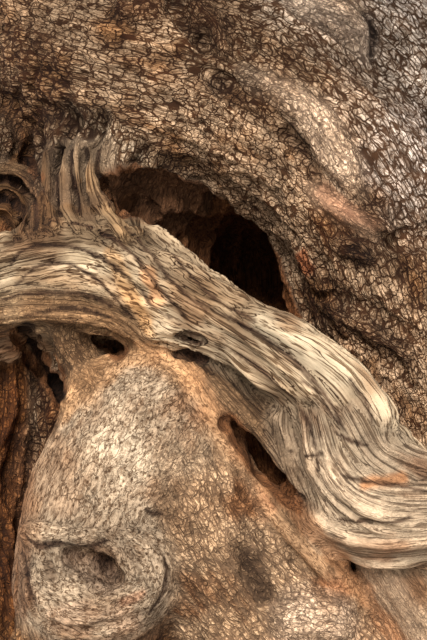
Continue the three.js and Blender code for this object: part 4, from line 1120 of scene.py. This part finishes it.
# Meshes
def make_mesh(name, p, faces, normals=None, point=None, corner=None, smooth=True):
    """A mesh object from arrays. point and corner map an attribute's name to its values."""
    used, index = np.unique(faces, return_inverse=True)
    index = index.reshape(faces.shape)
    mesh = bpy.data.meshes.new(name)
    mesh.vertices.add(len(used))
    mesh.vertices.foreach_set("co", (p[used] / 1000).astype(np.float32).ravel())
    sides = faces.shape[1]
    mesh.loops.add(index.size)
    mesh.loops.foreach_set("vertex_index", index.astype(np.int32).ravel())
    mesh.polygons.add(len(faces))
    mesh.polygons.foreach_set("loop_start", np.arange(len(faces), dtype=np.int32) * sides)
    mesh.update(calc_edges=True)
    mesh.polygons.foreach_set("use_smooth", np.full(len(faces), smooth))
    for key, values in (point or {}).items():
        kind = "FLOAT_COLOR" if values.shape[1] == 4 else "FLOAT_VECTOR"
        a = mesh.attributes.new(key, kind, "POINT")
        field = "color" if kind == "FLOAT_COLOR" else "vector"
        a.data.foreach_set(field, values[used].astype(np.float32).ravel())
    for key, values in (corner or {}).items():
        a = mesh.attributes.new(key, "FLOAT_VECTOR", "CORNER")
        a.data.foreach_set("vector", values.astype(np.float32).ravel())
    if normals is not None:
        mesh.normals_split_custom_set_from_vertices(normals[used].astype(np.float32))
    piece = bpy.data.objects.new(name, mesh)
    bpy.context.scene.collection.objects.link(piece)
    return piece


def strand_corners(p, faces, who, coords):
    """Each face's corners, all measured on the strand that is nearest to its first corner."""
    out = coords[0][faces]
    mixed = np.flatnonzero((who[0][faces] != who[0][faces[:, :1]]).any(1))
    owner = who[0][faces[:, 0]]
    for k in np.unique(owner[mixed]):
        here = mixed[owner[mixed] == k]
        _, c = wood.steps[k][1].coordinates(p[faces[here]].reshape(-1, 3))
        c[:, 0] += STRAND_SHIFT * k
        out[here] = c.reshape(len(here), 4, 3)
    return out


def in_frame(p, margin):
    """True for places in front that the frame shows, or that lie so many pixels past it."""
    u, v = frame_place(p)
    return (
        (np.abs(u - FRAME_WIDTH / 2) < FRAME_WIDTH / 2 + margin)
        & (np.abs(v - FRAME_HEIGHT / 2) < FRAME_HEIGHT / 2 + margin)
        & (p[:, 1] < 60)
    )


def wood_skin(low, high, cell):
    """Places and faces of the wood's skin in a box."""
    low, high = np.array(low, float), np.array(high, float)
    shape = [int(n) + 1 for n in np.ceil((high - low) / cell)]
    values = grid_values(wood, low, shape, cell)
    return surface_nets(values, low, cell)


def wood_part(low, high, cell, keep):
    """Skin in a box, dressed, with only the faces whose middles pass the test."""
    p, faces = wood_skin(low, high, cell)
    faces = faces[keep(p[faces].mean(1))]
    used, index = np.unique(faces, return_inverse=True)
    p, faces = p[used], index.reshape(faces.shape)
    raised, who, coords, tone, amounts = dress(p, faces)
    corners = strand_corners(p, faces, who, coords)
    normals = vertex_normals(raised, faces)
    owner = who[0][faces[:, 0]]
    return dict(p=raised, faces=faces, corners=corners, tone=tone, amounts=amounts,
                normals=normals, owner=owner)


# Lowest and highest corners of the boxes in which the skin is looked for
FINE_LOW, FINE_HIGH = (-1000, -960, 110), (460, 60, 1990)
COARSE_LOW, COARSE_HIGH = (-1800, -1800, -30), (1800, 1800, 4700)
OVERLAP = 8  # pixels by which the fine skin runs on past the frame
parts = [
    wood_part(FINE_LOW, FINE_HIGH, FINE_CELL, lambda middle: in_frame(middle, OVERLAP)),
    wood_part(COARSE_LOW, COARSE_HIGH, COARSE_CELL,
              lambda middle: ~in_frame(middle, 0) & (middle[:, 2] > -20)),
]


# Materials
class Look:
    """A node material, with short calls for the nodes that are used often."""

    def __init__(self, name):
        self.material = bpy.data.materials.new(name)
        self.material.use_nodes = True
        self.tree = self.material.node_tree
        self.shader = self.tree.nodes["Principled BSDF"]

    def node(self, kind, settings, inputs):
        """Adds a node. settings are its properties, inputs the values or links of its sockets."""
        node = self.tree.nodes.new("ShaderNode" + kind)
        for key, value in settings.items():
            setattr(node, key, value)
        for key, value in inputs.items():
            self.put(node.inputs[key], value)
        return node.outputs

    def put(self, socket, value):
        if isinstance(value, bpy.types.NodeSocket):
            self.tree.links.new(value, socket)
        else:
            socket.default_value = value

    def finish(self, **inputs):
        """Sets the shader's sockets, with _ for a blank in their names. Gives the material."""
        for key, value in inputs.items():
            self.put(self.shader.inputs[key.replace("_", " ")], value)
        return self.material

    def attribute(self, name):
        return self.node("Attribute", {"attribute_name": name}, {})

    def math(self, action, *values, clamp=False):
        settings = {"operation": action, "use_clamp": clamp}
        return self.node("Math", settings, dict(enumerate(values)))[0]

    def times(self, a, b):
        return self.math("MULTIPLY", a, b)

    def plus(self, a, b):
        return self.math("ADD", a, b)

    def minus(self, a, b):
        return self.math("SUBTRACT", a, b)

    def vector(self, action, a, b):
        return self.node("VectorMath", {"operation": action}, {0: a, 1: b})[0]

    def split(self, vector):
        return self.node("SeparateXYZ", {}, {0: vector})

    def noise(self, vector, detail, rough=0.5):
        inputs = {"Vector": vector, "Scale": 1.0, "Detail": detail, "Roughness": rough}
        return self.node("TexNoise", {}, inputs)

    def cells(self, vector, feature, distance):
        settings = {"feature": feature, "distance": distance}
        return self.node("TexVoronoi", settings, {"Vector": vector, "Scale": 1.0})

    def step(self, value, low, high, first=0.0, last=1.0):
        inputs = dict(enumerate((value, low, high, first, last)))
        return self.node("MapRange", {"interpolation_type": "SMOOTHSTEP"}, inputs)[0]

    def blend(self, share, a, b, action="MIX"):
        settings = {"data_type": "RGBA", "blend_type": action}
        return self.node("Mix", settings, {0: share, 6: a, 7: b})[2]


# How a pattern's low, middle and high parts tint the tone: the low parts, which the bump sinks,
# are darker and the high parts lighter, partly the wood's own colour and partly painted shade and
# painted light
DARK, MIDDLE, LIGHT = (0.1, 0.055, 0.03, 1), (0.52, 0.43, 0.35, 1), (1.5, 1.46, 1.41, 1)
# Patterns on the wood: length along the strand and width across it, in mm
PATTERNS = {
    "drift": (60, 30),
    "sway": (300, 90),
    "patch": (60, 40),
    "large_plate": (25, 15),
    "small_plate": (12, 8),
    "mottle": (20, 8),
    "streak": (26, 3.4),
    "fibre": (460, 5),
    "band": (620, 24),
    "crumb": (13, 8),
    "pit": (15, 13),
    "vein": (30, 18),
}
# Heights in mm of the patterns, and how much higher the plates stand where the cracks are open
PLATE_HEIGHT, OPEN_PLATE_HEIGHT, LINE_HEIGHT, PIT_HEIGHT = 3.5, 5.0, 3.2, 4.0


def wood_look(name):
    """Bark plates, long grain and fine pits, each as strong as the skin's attributes say."""
    look = Look(name)
    times, plus, minus, step = look.times, look.plus, look.minus, look.step
    grain = look.attribute("grain")["Vector"]
    skin = look.attribute("tone")
    tone, openness = skin["Color"], skin["Alpha"]
    plates, lines, pits = look.split(look.attribute("amounts")["Vector"])

    def along(pattern, source):
        length, width = PATTERNS[pattern]
        return look.vector("MULTIPLY", source, (1 / length, 1 / width, 1 / width))

    def shake(pattern, reach, detail):
        wave = look.noise(along(pattern, grain), detail)["Color"]
        offset = look.vector("SUBTRACT", wave, (0.5, 0.5, 0.5))
        return look.vector("ADD", grain, look.vector("MULTIPLY", offset, reach))

    def noise(pattern, source, detail, rough=0.5):
        return look.noise(along(pattern, source), detail, rough)[0]

    def plate_gap(pattern):
        near, far = (look.cells(along(pattern, shaken), f, "CHEBYCHEV") for f in ("F1", "F2"))
        return minus(far["Distance"], near["Distance"])

    def tinted(amount, colour, share):
        low = look.blend(step(share, 0.0, 0.5), DARK, MIDDLE)
        shade = look.blend(step(share, 0.3, 0.95), low, LIGHT)
        return look.blend(amount, colour, look.blend(1.0, colour, shade, "MULTIPLY"))

    shaken = shake("drift", (30, 15, 15), 3.0)
    gentle = shake("sway", (50, 16, 16), 2.0)
    # bark: squarish plates with thin or gaping cracks, streaked along the flow
    patch = noise("patch", grain, 2.0)
    open_ = look.math("ADD", openness, times(minus(patch, 0.5), 1.1), clamp=True)
    reach = plus(0.1, times(open_, 0.2))
    cracks = times(step(plate_gap("large_plate"), 0.0, reach),
                   step(plate_gap("small_plate"), 0.0, reach, 0.35))
    streak = step(noise("streak", shaken, 2.0, 0.6), 0.32, 0.62, 0.5)
    mottle = step(noise("mottle", shaken, 4.0, 0.7), 0.32, 0.6, minus(0.62, times(open_, 0.25)))
    plate = times(cracks, times(streak, mottle))
    plate_height = times(plate, plus(PLATE_HEIGHT, times(open_, OPEN_PLATE_HEIGHT)))
    # bare wood: fibres along the strand, and long dark cracks
    fibre = noise("fibre", gentle, 2.0, 0.6)
    split_ = step(look.math("ABSOLUTE", minus(noise("band", gentle, 2.0), 0.44)), 0.0, 0.012, 0.15)
    line = times(times(split_, step(fibre, 0.34, 0.5, 0.42)),
                 plus(0.6, times(step(fibre, 0.3, 0.7), 0.4)))
    # burl: crumbs, short creases and dark pits
    crumb = step(noise("crumb", shaken, 4.0, 0.72), 0.36, 0.58)
    pit = look.cells(along("pit", grain), "F1", "EUCLIDEAN")["Distance"]
    vein = look.math("ABSOLUTE", minus(noise("vein", shaken, 3.0, 0.6), 0.5))
    pitted = times(times(step(pit, 0.1, 0.3, 0.4), step(vein, 0.0, 0.035, 0.4)),
                   plus(0.45, times(crumb, 0.55)))
    height = plus(times(plate_height, plates), times(times(line, LINE_HEIGHT), lines))
    height = plus(height, times(times(pitted, PIT_HEIGHT), pits))
    colour = tinted(plates, tone, plate)
    colour = tinted(lines, colour, line)
    colour = tinted(pits, colour, pitted)
    bump = look.node("Bump", {}, {"Distance": 0.001, "Strength": 1.0, "Height": height})[0]
    return look.finish(Base_Color=colour, Roughness=0.9, Specular_IOR_Level=0.2, Normal=bump)


wood_material = wood_look("old_wood")


def wood_pieces():
    """One piece for each solid that the wood replaces, and a few for the trunk."""
    owners = {}
    for k, (act, strand) in enumerate(wood.steps):
        if act == "add":
            owners.setdefault(strand.owner, []).append(k)
    for owner, numbers in owners.items():
        groups = {owner + "_wood": parts}
        if owner == "trunk":
            groups = {"trunk_front": parts[:1], "trunk_sides_and_back": parts[1:]}
        for name, group in groups.items():
            chosen = [np.isin(part["owner"], numbers) for part in group]
            base = np.cumsum([0] + [len(part["p"]) for part in group[:-1]])
            faces = np.concatenate(
                [part["faces"][here] + b for part, here, b in zip(group, chosen, base)]
            )
            corners = np.concatenate([part["corners"][here] for part, here in zip(group, chosen)])
            p, tone, amounts, normals = (
                np.concatenate([part[key] for part in group])
                for key in ("p", "tone", "amounts", "normals")
            )
            point = {"tone": np.concatenate([tone, amounts[:, 3:]], 1), "amounts": amounts[:, :3]}
            halves = {"": np.ones(len(faces), bool)}
            if len(faces) > MESH_FACES:
                upper = p[faces[:, 0], 2] > np.median(p[faces[:, 0], 2])
                halves = {"_upper": upper, "_lower": ~upper}
            for ending, half in halves.items():
                corner = {"grain": corners[half]}
                piece = make_mesh(name + ending, p, faces[half], normals, point, corner)
                piece.data.materials.append(wood_material)
                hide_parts(owner)
                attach(piece, "root")


wood_pieces()

# Foliage, grown by the part's rule and carried on to finer twigs and leaves
LEAF_LENGTH, LEAF_WIDTH, LEAF_STEP = 76, 17, 21
LEAF_TONES = [(96, 106, 70), (128, 136, 98), (168, 172, 146)]  # upper sides, younger, silvery
# How often each tone is chosen: at once for half of a spray's leaves, one by one for the others
SPRAY_TONES, MIXED_TONES = (0.4, 0.38, 0.22), (0.45, 0.3, 0.25)
SHOOTS = 9  # side shoots of a spray
SHOOT_RADIUS, SIDE_SHOOT_RADIUS = 4.5, 2.2
# Shorter sprays: their places on the twig, below its knee where negative, and their sizes
FINER_SPRAYS = [(-0.35, 0.75), (0.12, 0.8), (0.42, 0.78), (0.6, 0.7), (0.86, 0.62)]


def rotated(v, axis, turn):
    return v * math.cos(turn) + np.cross(axis, v) * math.sin(turn) + axis * (axis @ v) * (
        1 - math.cos(turn)
    )


def mass_share(place, p):
    """How far places are from a mass's middle, where 1 is its skin."""
    size = np.array([MASS_RADIUS, MASS_RADIUS, MASS_HEIGHT]) * place["swell"]
    return np.linalg.norm((p - place["c"]) / size, axis=-1)


def is_free(p, place, clearance):
    """True where all the places lie in their own mass's space and touch no limb."""
    own = mass_share(place, p)
    if (own > 1.02).any():
        return False
    for other in places:
        if other is not place and (mass_share(other, p) < own + MASS_MARGIN).any():
            return False
    return all((limb["strand"].distance(p) >= clearance).all() for limb in limbs)


def grow_twigs(place, stem, dice):
    """Root, knee and tip of each twig of a mass, all round its stem."""
    spin = dice.between(0, 2 * math.pi)
    twigs = []
    for i in range(SIDE_TWIGS):
        level = 1 - 2 * (i + 0.5) / SIDE_TWIGS
        around = spin + i * GOLDEN_ANGLE
        flat = math.sqrt(1 - level * level)
        reach = 0.6 * place["swell"] * dice.between(0.9, 1.1)
        out = np.array([flat * math.cos(around), flat * math.sin(around), level])
        tip = place["c"] + out * np.array([MASS_RADIUS, MASS_RADIUS, MASS_HEIGHT]) * reach
        rise = 0.25 + 0.35 * (1 - abs(level)) + 0.35 * max(level, 0)
        root = stem[math.floor((len(stem) - 1) * rise + 0.5)]
        knee = mix(root, tip, 0.5) + np.array([0, 0, 60 * dice.between(0.4, 1.2)])
        twigs.append([root, knee, tip])
    return twigs


def grow_spray(on, side, opening, root, length, twist, lead):
    """A spray that opens from the way on to one side, its flat face turned by a twist."""
    heading = on * math.cos(opening) + side * math.sin(opening)
    across = np.cross(on, side) + side * lead
    across = unit(across - heading * (across @ heading))
    return {"root": root, "heading": heading, "across": rotated(across, heading, twist),
            "length": length}


def grow_sprays(twig, dice):
    """The sprays of a twig: one that carries it on, and two that fork off."""
    _, knee, tip = twig
    on = unit(tip - knee)
    flat = unit(np.cross(on, np.array([0.2, 0.1, 1.0])))
    fork = dice.between(0, math.pi)
    sprays = []
    for b, share in enumerate((0.97, 0.72, 0.3)):
        side = rotated(flat, on, fork + b * math.pi)
        spread = FORK["spread"] + dice.between(-FORK["jitter"], FORK["jitter"]) if b else 0
        twist = dice.between(-0.7, 0.7)
        length = SPRAY_LENGTH * dice.between(0.85, 1.08)
        sprays.append(grow_spray(on, side, math.radians(spread), mix(knee, tip, share), length,
                                 twist, 0 if b else 0.6))
    return sprays


def grow_finer(twig, dice):
    """Shorter sprays between the others, on both halves of the twig."""
    root, knee, tip = twig
    sprays = []
    for share, size in FINER_SPRAYS:
        foot = mix(root, knee, 1 + share) if share < 0 else mix(knee, tip, share)
        on = unit(knee - root) if share < 0 else unit(tip - knee)
        flat = unit(np.cross(on, np.array([0.2, 0.1, 1.0])))
        side = rotated(flat, on, dice.between(0, 2 * math.pi))
        sprays.append(grow_spray(on, side, math.radians(dice.between(40, 68)), foot,
                                 SPRAY_LENGTH * size * dice.between(0.85, 1.1),
                                 dice.between(-1.2, 1.2), 0))
    return sprays


def clear_twig(twig, place):
    """True where a twig keeps to its mass's space and off the limbs."""
    root, knee, tip = twig
    spots = np.array([mix(root, knee, 0.45), knee, mix(knee, tip, 0.5), tip])
    return is_free(spots, place, TWIG_CLEARANCE)


def clear_spray(spray, place):
    """The same for a spray."""
    reach = spray["length"] * np.array([0.4, 0.7, 1.0])
    return is_free(spray["root"] + spray["heading"] * reach[:, None], place, SPRAY_CLEARANCE)


def grow_mass(place, limb, seed):
    """Stem, twigs and sprays of one mass."""
    dice, finer = Dice(seed), Dice(seed + 400)
    line, radii = limb["strand"].places, limb["strand"].radii
    end, thick = line[-1], radii[-1]
    ahead = unit(end - line[-2])
    start = end + ahead * 90.45
    heart = place["c"] - np.array([0, 0, 0.05 * MASS_HEIGHT])
    top = place["c"] + np.array([0, 0, 0.5 * MASS_HEIGHT * place["swell"]])
    points = [(*end, thick), (*start, thick * 0.82), (*heart, thick * 0.5),
              (*top, STEM_TIP_RADIUS)]
    stem, _ = smooth_path(points, 2)
    twigs, sprays = [], []
    for twig in grow_twigs(place, stem, dice):
        if not clear_twig(twig, place):
            twig[2] = mix(twig[0], twig[2], SHORTER_TWIG)
            twig[1] = mix(twig[0], twig[2], 0.5)
        grown = grow_sprays(twig, dice)
        extra = grow_finer(twig, finer)
        if not clear_twig(twig, place):
            continue
        twigs.append(twig)
        sprays += [s for s in grown + extra if clear_spray(s, place)]
    return points, twigs, sprays


def tube(line, radii, sides):
    """Places and triangles of a tube along a line, its far end closed to a point."""
    line = np.asarray(line, float)
    ahead = np.gradient(line, axis=0)
    side = unit(np.cross(ahead, np.array([0.31, 0.2, 0.93])))
    up = unit(np.cross(ahead, side))
    turn = 2 * math.pi * np.arange(sides) / sides
    ring = side[:, None] * np.cos(turn)[:, None] + up[:, None] * np.sin(turn)[:, None]
    p = (line[:, None] + ring * np.asarray(radii)[:, None, None]).reshape(-1, 3)
    p = np.vstack([p, line[-1] + ahead[-1] * 0.02])
    i = np.arange(len(line) - 1)[:, None] * sides
    j, k = np.arange(sides), (np.arange(sides) + 1) % sides
    a, b, c, d = (x.ravel() for x in (i + j, i + k, i + sides + k, i + sides + j))
    last = (len(line) - 1) * sides
    cap = np.stack([last + j, last + k, np.full(sides, len(p) - 1)], 1)
    return p, np.vstack([np.stack([a, b, c], 1), np.stack([a, c, d], 1), cap])


def joined(parts):
    """Several meshes' places and faces as one mesh's."""
    base = np.cumsum([0] + [len(p) for p, _ in parts[:-1]])
    return (np.vstack([p for p, _ in parts]),
            np.vstack([faces + b for (_, faces), b in zip(parts, base)]))


def shoots_of(spray, luck):
    """The main shoot of a spray and its side shoots, which fill the spray's kite."""
    root, heading, across = spray["root"], spray["heading"], spray["across"]
    face = np.cross(heading, across)
    share = (np.arange(SHOOTS) + 0.7 + luck.uniform(-0.25, 0.25, SHOOTS)) / (SHOOTS + 0.6)
    wide = np.where(share < 0.35, 0.3 + share / 0.5, (1.12 - share) / 0.77)
    size = spray["length"] / SPRAY_LENGTH
    reach = (0.5 * SPRAY_WIDTH * wide + 10) * size / 0.66
    hand = np.where(np.arange(SHOOTS) % 2, 1.0, -1.0)
    lean = np.radians(luck.uniform(34, 50, SHOOTS))
    way = (heading * np.cos(lean)[:, None] + across * (hand * np.sin(lean))[:, None]
           + face * luck.uniform(-0.35, 0.25, (SHOOTS, 1)))
    foot = root + heading * (spray["length"] * share)[:, None]
    return (np.vstack([root, foot]), np.vstack([heading, unit(way)]),
            np.concatenate([[spray["length"] * 0.93], np.maximum(reach, 46 * size)]))


def leaves_on(feet, ways, reaches, luck):
    """Bases, directions and blades' sides of opposite pairs of leaves along shoots."""
    out = []
    for foot, way, reach in zip(feet, ways, reaches):
        count = max(2, int(reach / LEAF_STEP))
        run = (np.arange(count) + 0.6) / count * reach
        side = unit(np.cross(way, luck.normal(size=3)))
        up = np.cross(way, side)
        turn = np.arange(count) * math.pi / 2 + luck.uniform(-0.4, 0.4, count)
        arm = side * np.cos(turn)[:, None] + up * np.sin(turn)[:, None]
        for hand in (1, -1):
            open_ = np.radians(luck.uniform(28, 58, count))[:, None]
            ahead = way * np.cos(open_) + arm * hand * np.sin(open_)
            ahead = unit(ahead + np.array([0, 0, -0.12]))
            blade = unit(np.cross(ahead, way + 0.5 * luck.normal(size=(count, 3))))
            out.append(np.concatenate([foot + way * run[:, None], ahead, blade], 1))
    return np.concatenate(out)


def leaf_mesh(rows, luck):
    """Six places and four triangles for each leaf: narrow, widest before its middle."""
    base, ahead, side = rows[:, :3], rows[:, 3:6], rows[:, 6:]
    face = np.cross(ahead, side)
    length = LEAF_LENGTH * luck.uniform(0.7, 1.15, (len(rows), 1))
    width = LEAF_WIDTH * luck.uniform(0.8, 1.15, (len(rows), 1))
    bow = length * luck.uniform(0.0, 0.12, (len(rows), 1))
    near, late = base + ahead * length * 0.34, base + ahead * length * 0.7 + face * bow * 0.3
    corners = [base, near + side * width / 2, near - side * width / 2,
               late + side * width * 0.38, late - side * width * 0.38,
               base + ahead * length - face * bow]
    p = np.stack(corners, 1).reshape(-1, 3)
    first = np.arange(len(rows))[:, None] * 6
    faces = np.stack([first + t for t in ([0, 2, 1], [1, 2, 4], [1, 4, 3], [3, 4, 5])], 1)
    return p, faces.reshape(-1, 3)


def plain_look(name, colour, roughness):
    base = (*srgb(colour), 1)
    return Look(name).finish(Base_Color=base, Roughness=roughness, Specular_IOR_Level=0.3)


def foliage_piece(number, place, limb, leaf_looks, twig_look):
    """The leaves of one mass as one piece, and its stem, twigs and shoots as another."""
    luck = np.random.default_rng(number)
    points, twigs, sprays = grow_mass(place, limb, 100 + number)
    line, radii = smooth_path(points, 6)
    line[0] -= (line[1] - line[0]) * 1.5
    wood_parts = [tube(line, radii, 8)]
    for root, knee, tip in twigs:
        bent, _ = smooth_path([(*root, 0), (*knee, 0), (*tip, 0)], 3)
        wood_parts.append(tube(bent, np.linspace(TWIG_RADIUS, TWIG_TIP_RADIUS, len(bent)), 5))
    rows, tones = [], []
    for spray in sprays:
        feet, ways, reaches = shoots_of(spray, luck)
        for k, (foot, way, reach) in enumerate(zip(feet, ways, reaches)):
            thick = SHOOT_RADIUS if k == 0 else SIDE_SHOOT_RADIUS
            wood_parts.append(tube([foot, foot + way * reach], [thick, thick * 0.4], 3))
        got = leaves_on(feet, ways, reaches, luck)
        rows.append(got)
        tone = luck.choice(3, p=SPRAY_TONES)
        mixed = luck.choice(3, len(got), p=MIXED_TONES)
        tones.append(np.where(luck.random(len(got)) < 0.5, tone, mixed))
    rows, tones = np.concatenate(rows), np.concatenate(tones)
    rows = rows[np.argsort(tones, kind="stable")]
    p, faces = leaf_mesh(rows, luck)
    leaves = make_mesh(f"foliage_{number}_leaves", p, faces, smooth=False)
    for look in leaf_looks:
        leaves.data.materials.append(look)
    leaves.data.polygons.foreach_set("material_index", np.repeat(np.sort(tones), 4).astype(np.int32))
    p, faces = joined(wood_parts)
    twig_piece = make_mesh(f"foliage_{number}_twigs", p, faces)
    twig_piece.data.materials.append(twig_look)
    for piece, slot in ((leaves, "leaves"), (twig_piece, "bark")):
        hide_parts(f"foliage_{number}")
        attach(piece, "root")


for limb in limbs:
    line, radii = smooth_path(limb["points"], 2)
    keep = [i for i in range(len(line)) if i not in (1, 3)]
    limb["strand"] = Strand(None, "limb", 0, path=(line[keep], radii[keep]))
leaf_looks = [plain_look(f"leaf_{n}", tone, 0.55) for n, tone in enumerate(LEAF_TONES)]
twig_look = plain_look("young_bark", (116, 102, 84), 0.85)
for k, limb in enumerate(limbs):
    foliage_piece(k + 1, limb["place"], limb, leaf_looks, twig_look)

# Floor, light and camera
floor = bpy.data.objects.new("floor", bpy.data.meshes.new("floor"))
half = 150  # metres from its middle to its sides
corners = [(x * half, y * half, 0) for x, y in ((-1, -1), (1, -1), (1, 1), (-1, 1))]
floor.data.from_pydata(corners, [], [(0, 1, 2, 3)])
bpy.context.scene.collection.objects.link(floor)
pale = Look("pale_floor").finish(Base_Color=(0.4, 0.4, 0.395, 1), Roughness=0.9)
floor.data.materials.append(pale)

world = bpy.data.worlds.new("studio")
bpy.context.scene.world = world
world.use_nodes = True
world.node_tree.nodes["Background"].inputs[0].default_value = (1.0, 1.0, 1.0, 1)
world.node_tree.nodes["Background"].inputs[1].default_value = 0.66
bpy.context.scene.view_settings.view_transform = "Standard"


def sun(name, place, aim_height, power, colour, spread):
    """A lamp that shines from place to a height over the origin, spread over so many degrees."""
    data = bpy.data.lights.new(name, "SUN")
    data.energy, data.color, data.angle = power, colour, math.radians(spread)
    light = bpy.data.objects.new(name, data)
    bpy.context.scene.collection.objects.link(light)
    light.location = place
    x, y, z = -place[0], -place[1], aim_height - place[2]
    light.rotation_euler = (math.atan2(math.hypot(x, y), -z), 0, math.atan2(-x, y))
    light.visible_camera = False


sun("high", (-3, -6, 9), 2, 1.5, (1.0, 0.97, 0.92), 24)
sun("low", (-0.9, -5.6, 4.2), 1, 3.1, (1.0, 0.98, 0.95), 20)
sun("side", (5, -4, 2.2), 1, 0.5, (0.97, 0.98, 1.0), 60)
sun("behind", (2, 6, 3.4), 1, 0.9, (0.97, 0.98, 1.0), 50)

camera = bpy.data.objects.new("camera", bpy.data.cameras.new("camera"))
bpy.context.scene.collection.objects.link(camera)
camera.location = tuple(CAMERA / 1000)
camera.rotation_euler = (math.pi / 2, 0, 0)
camera.data.lens, camera.data.sensor_width = LENS, SENSOR
bpy.context.scene.camera = camera
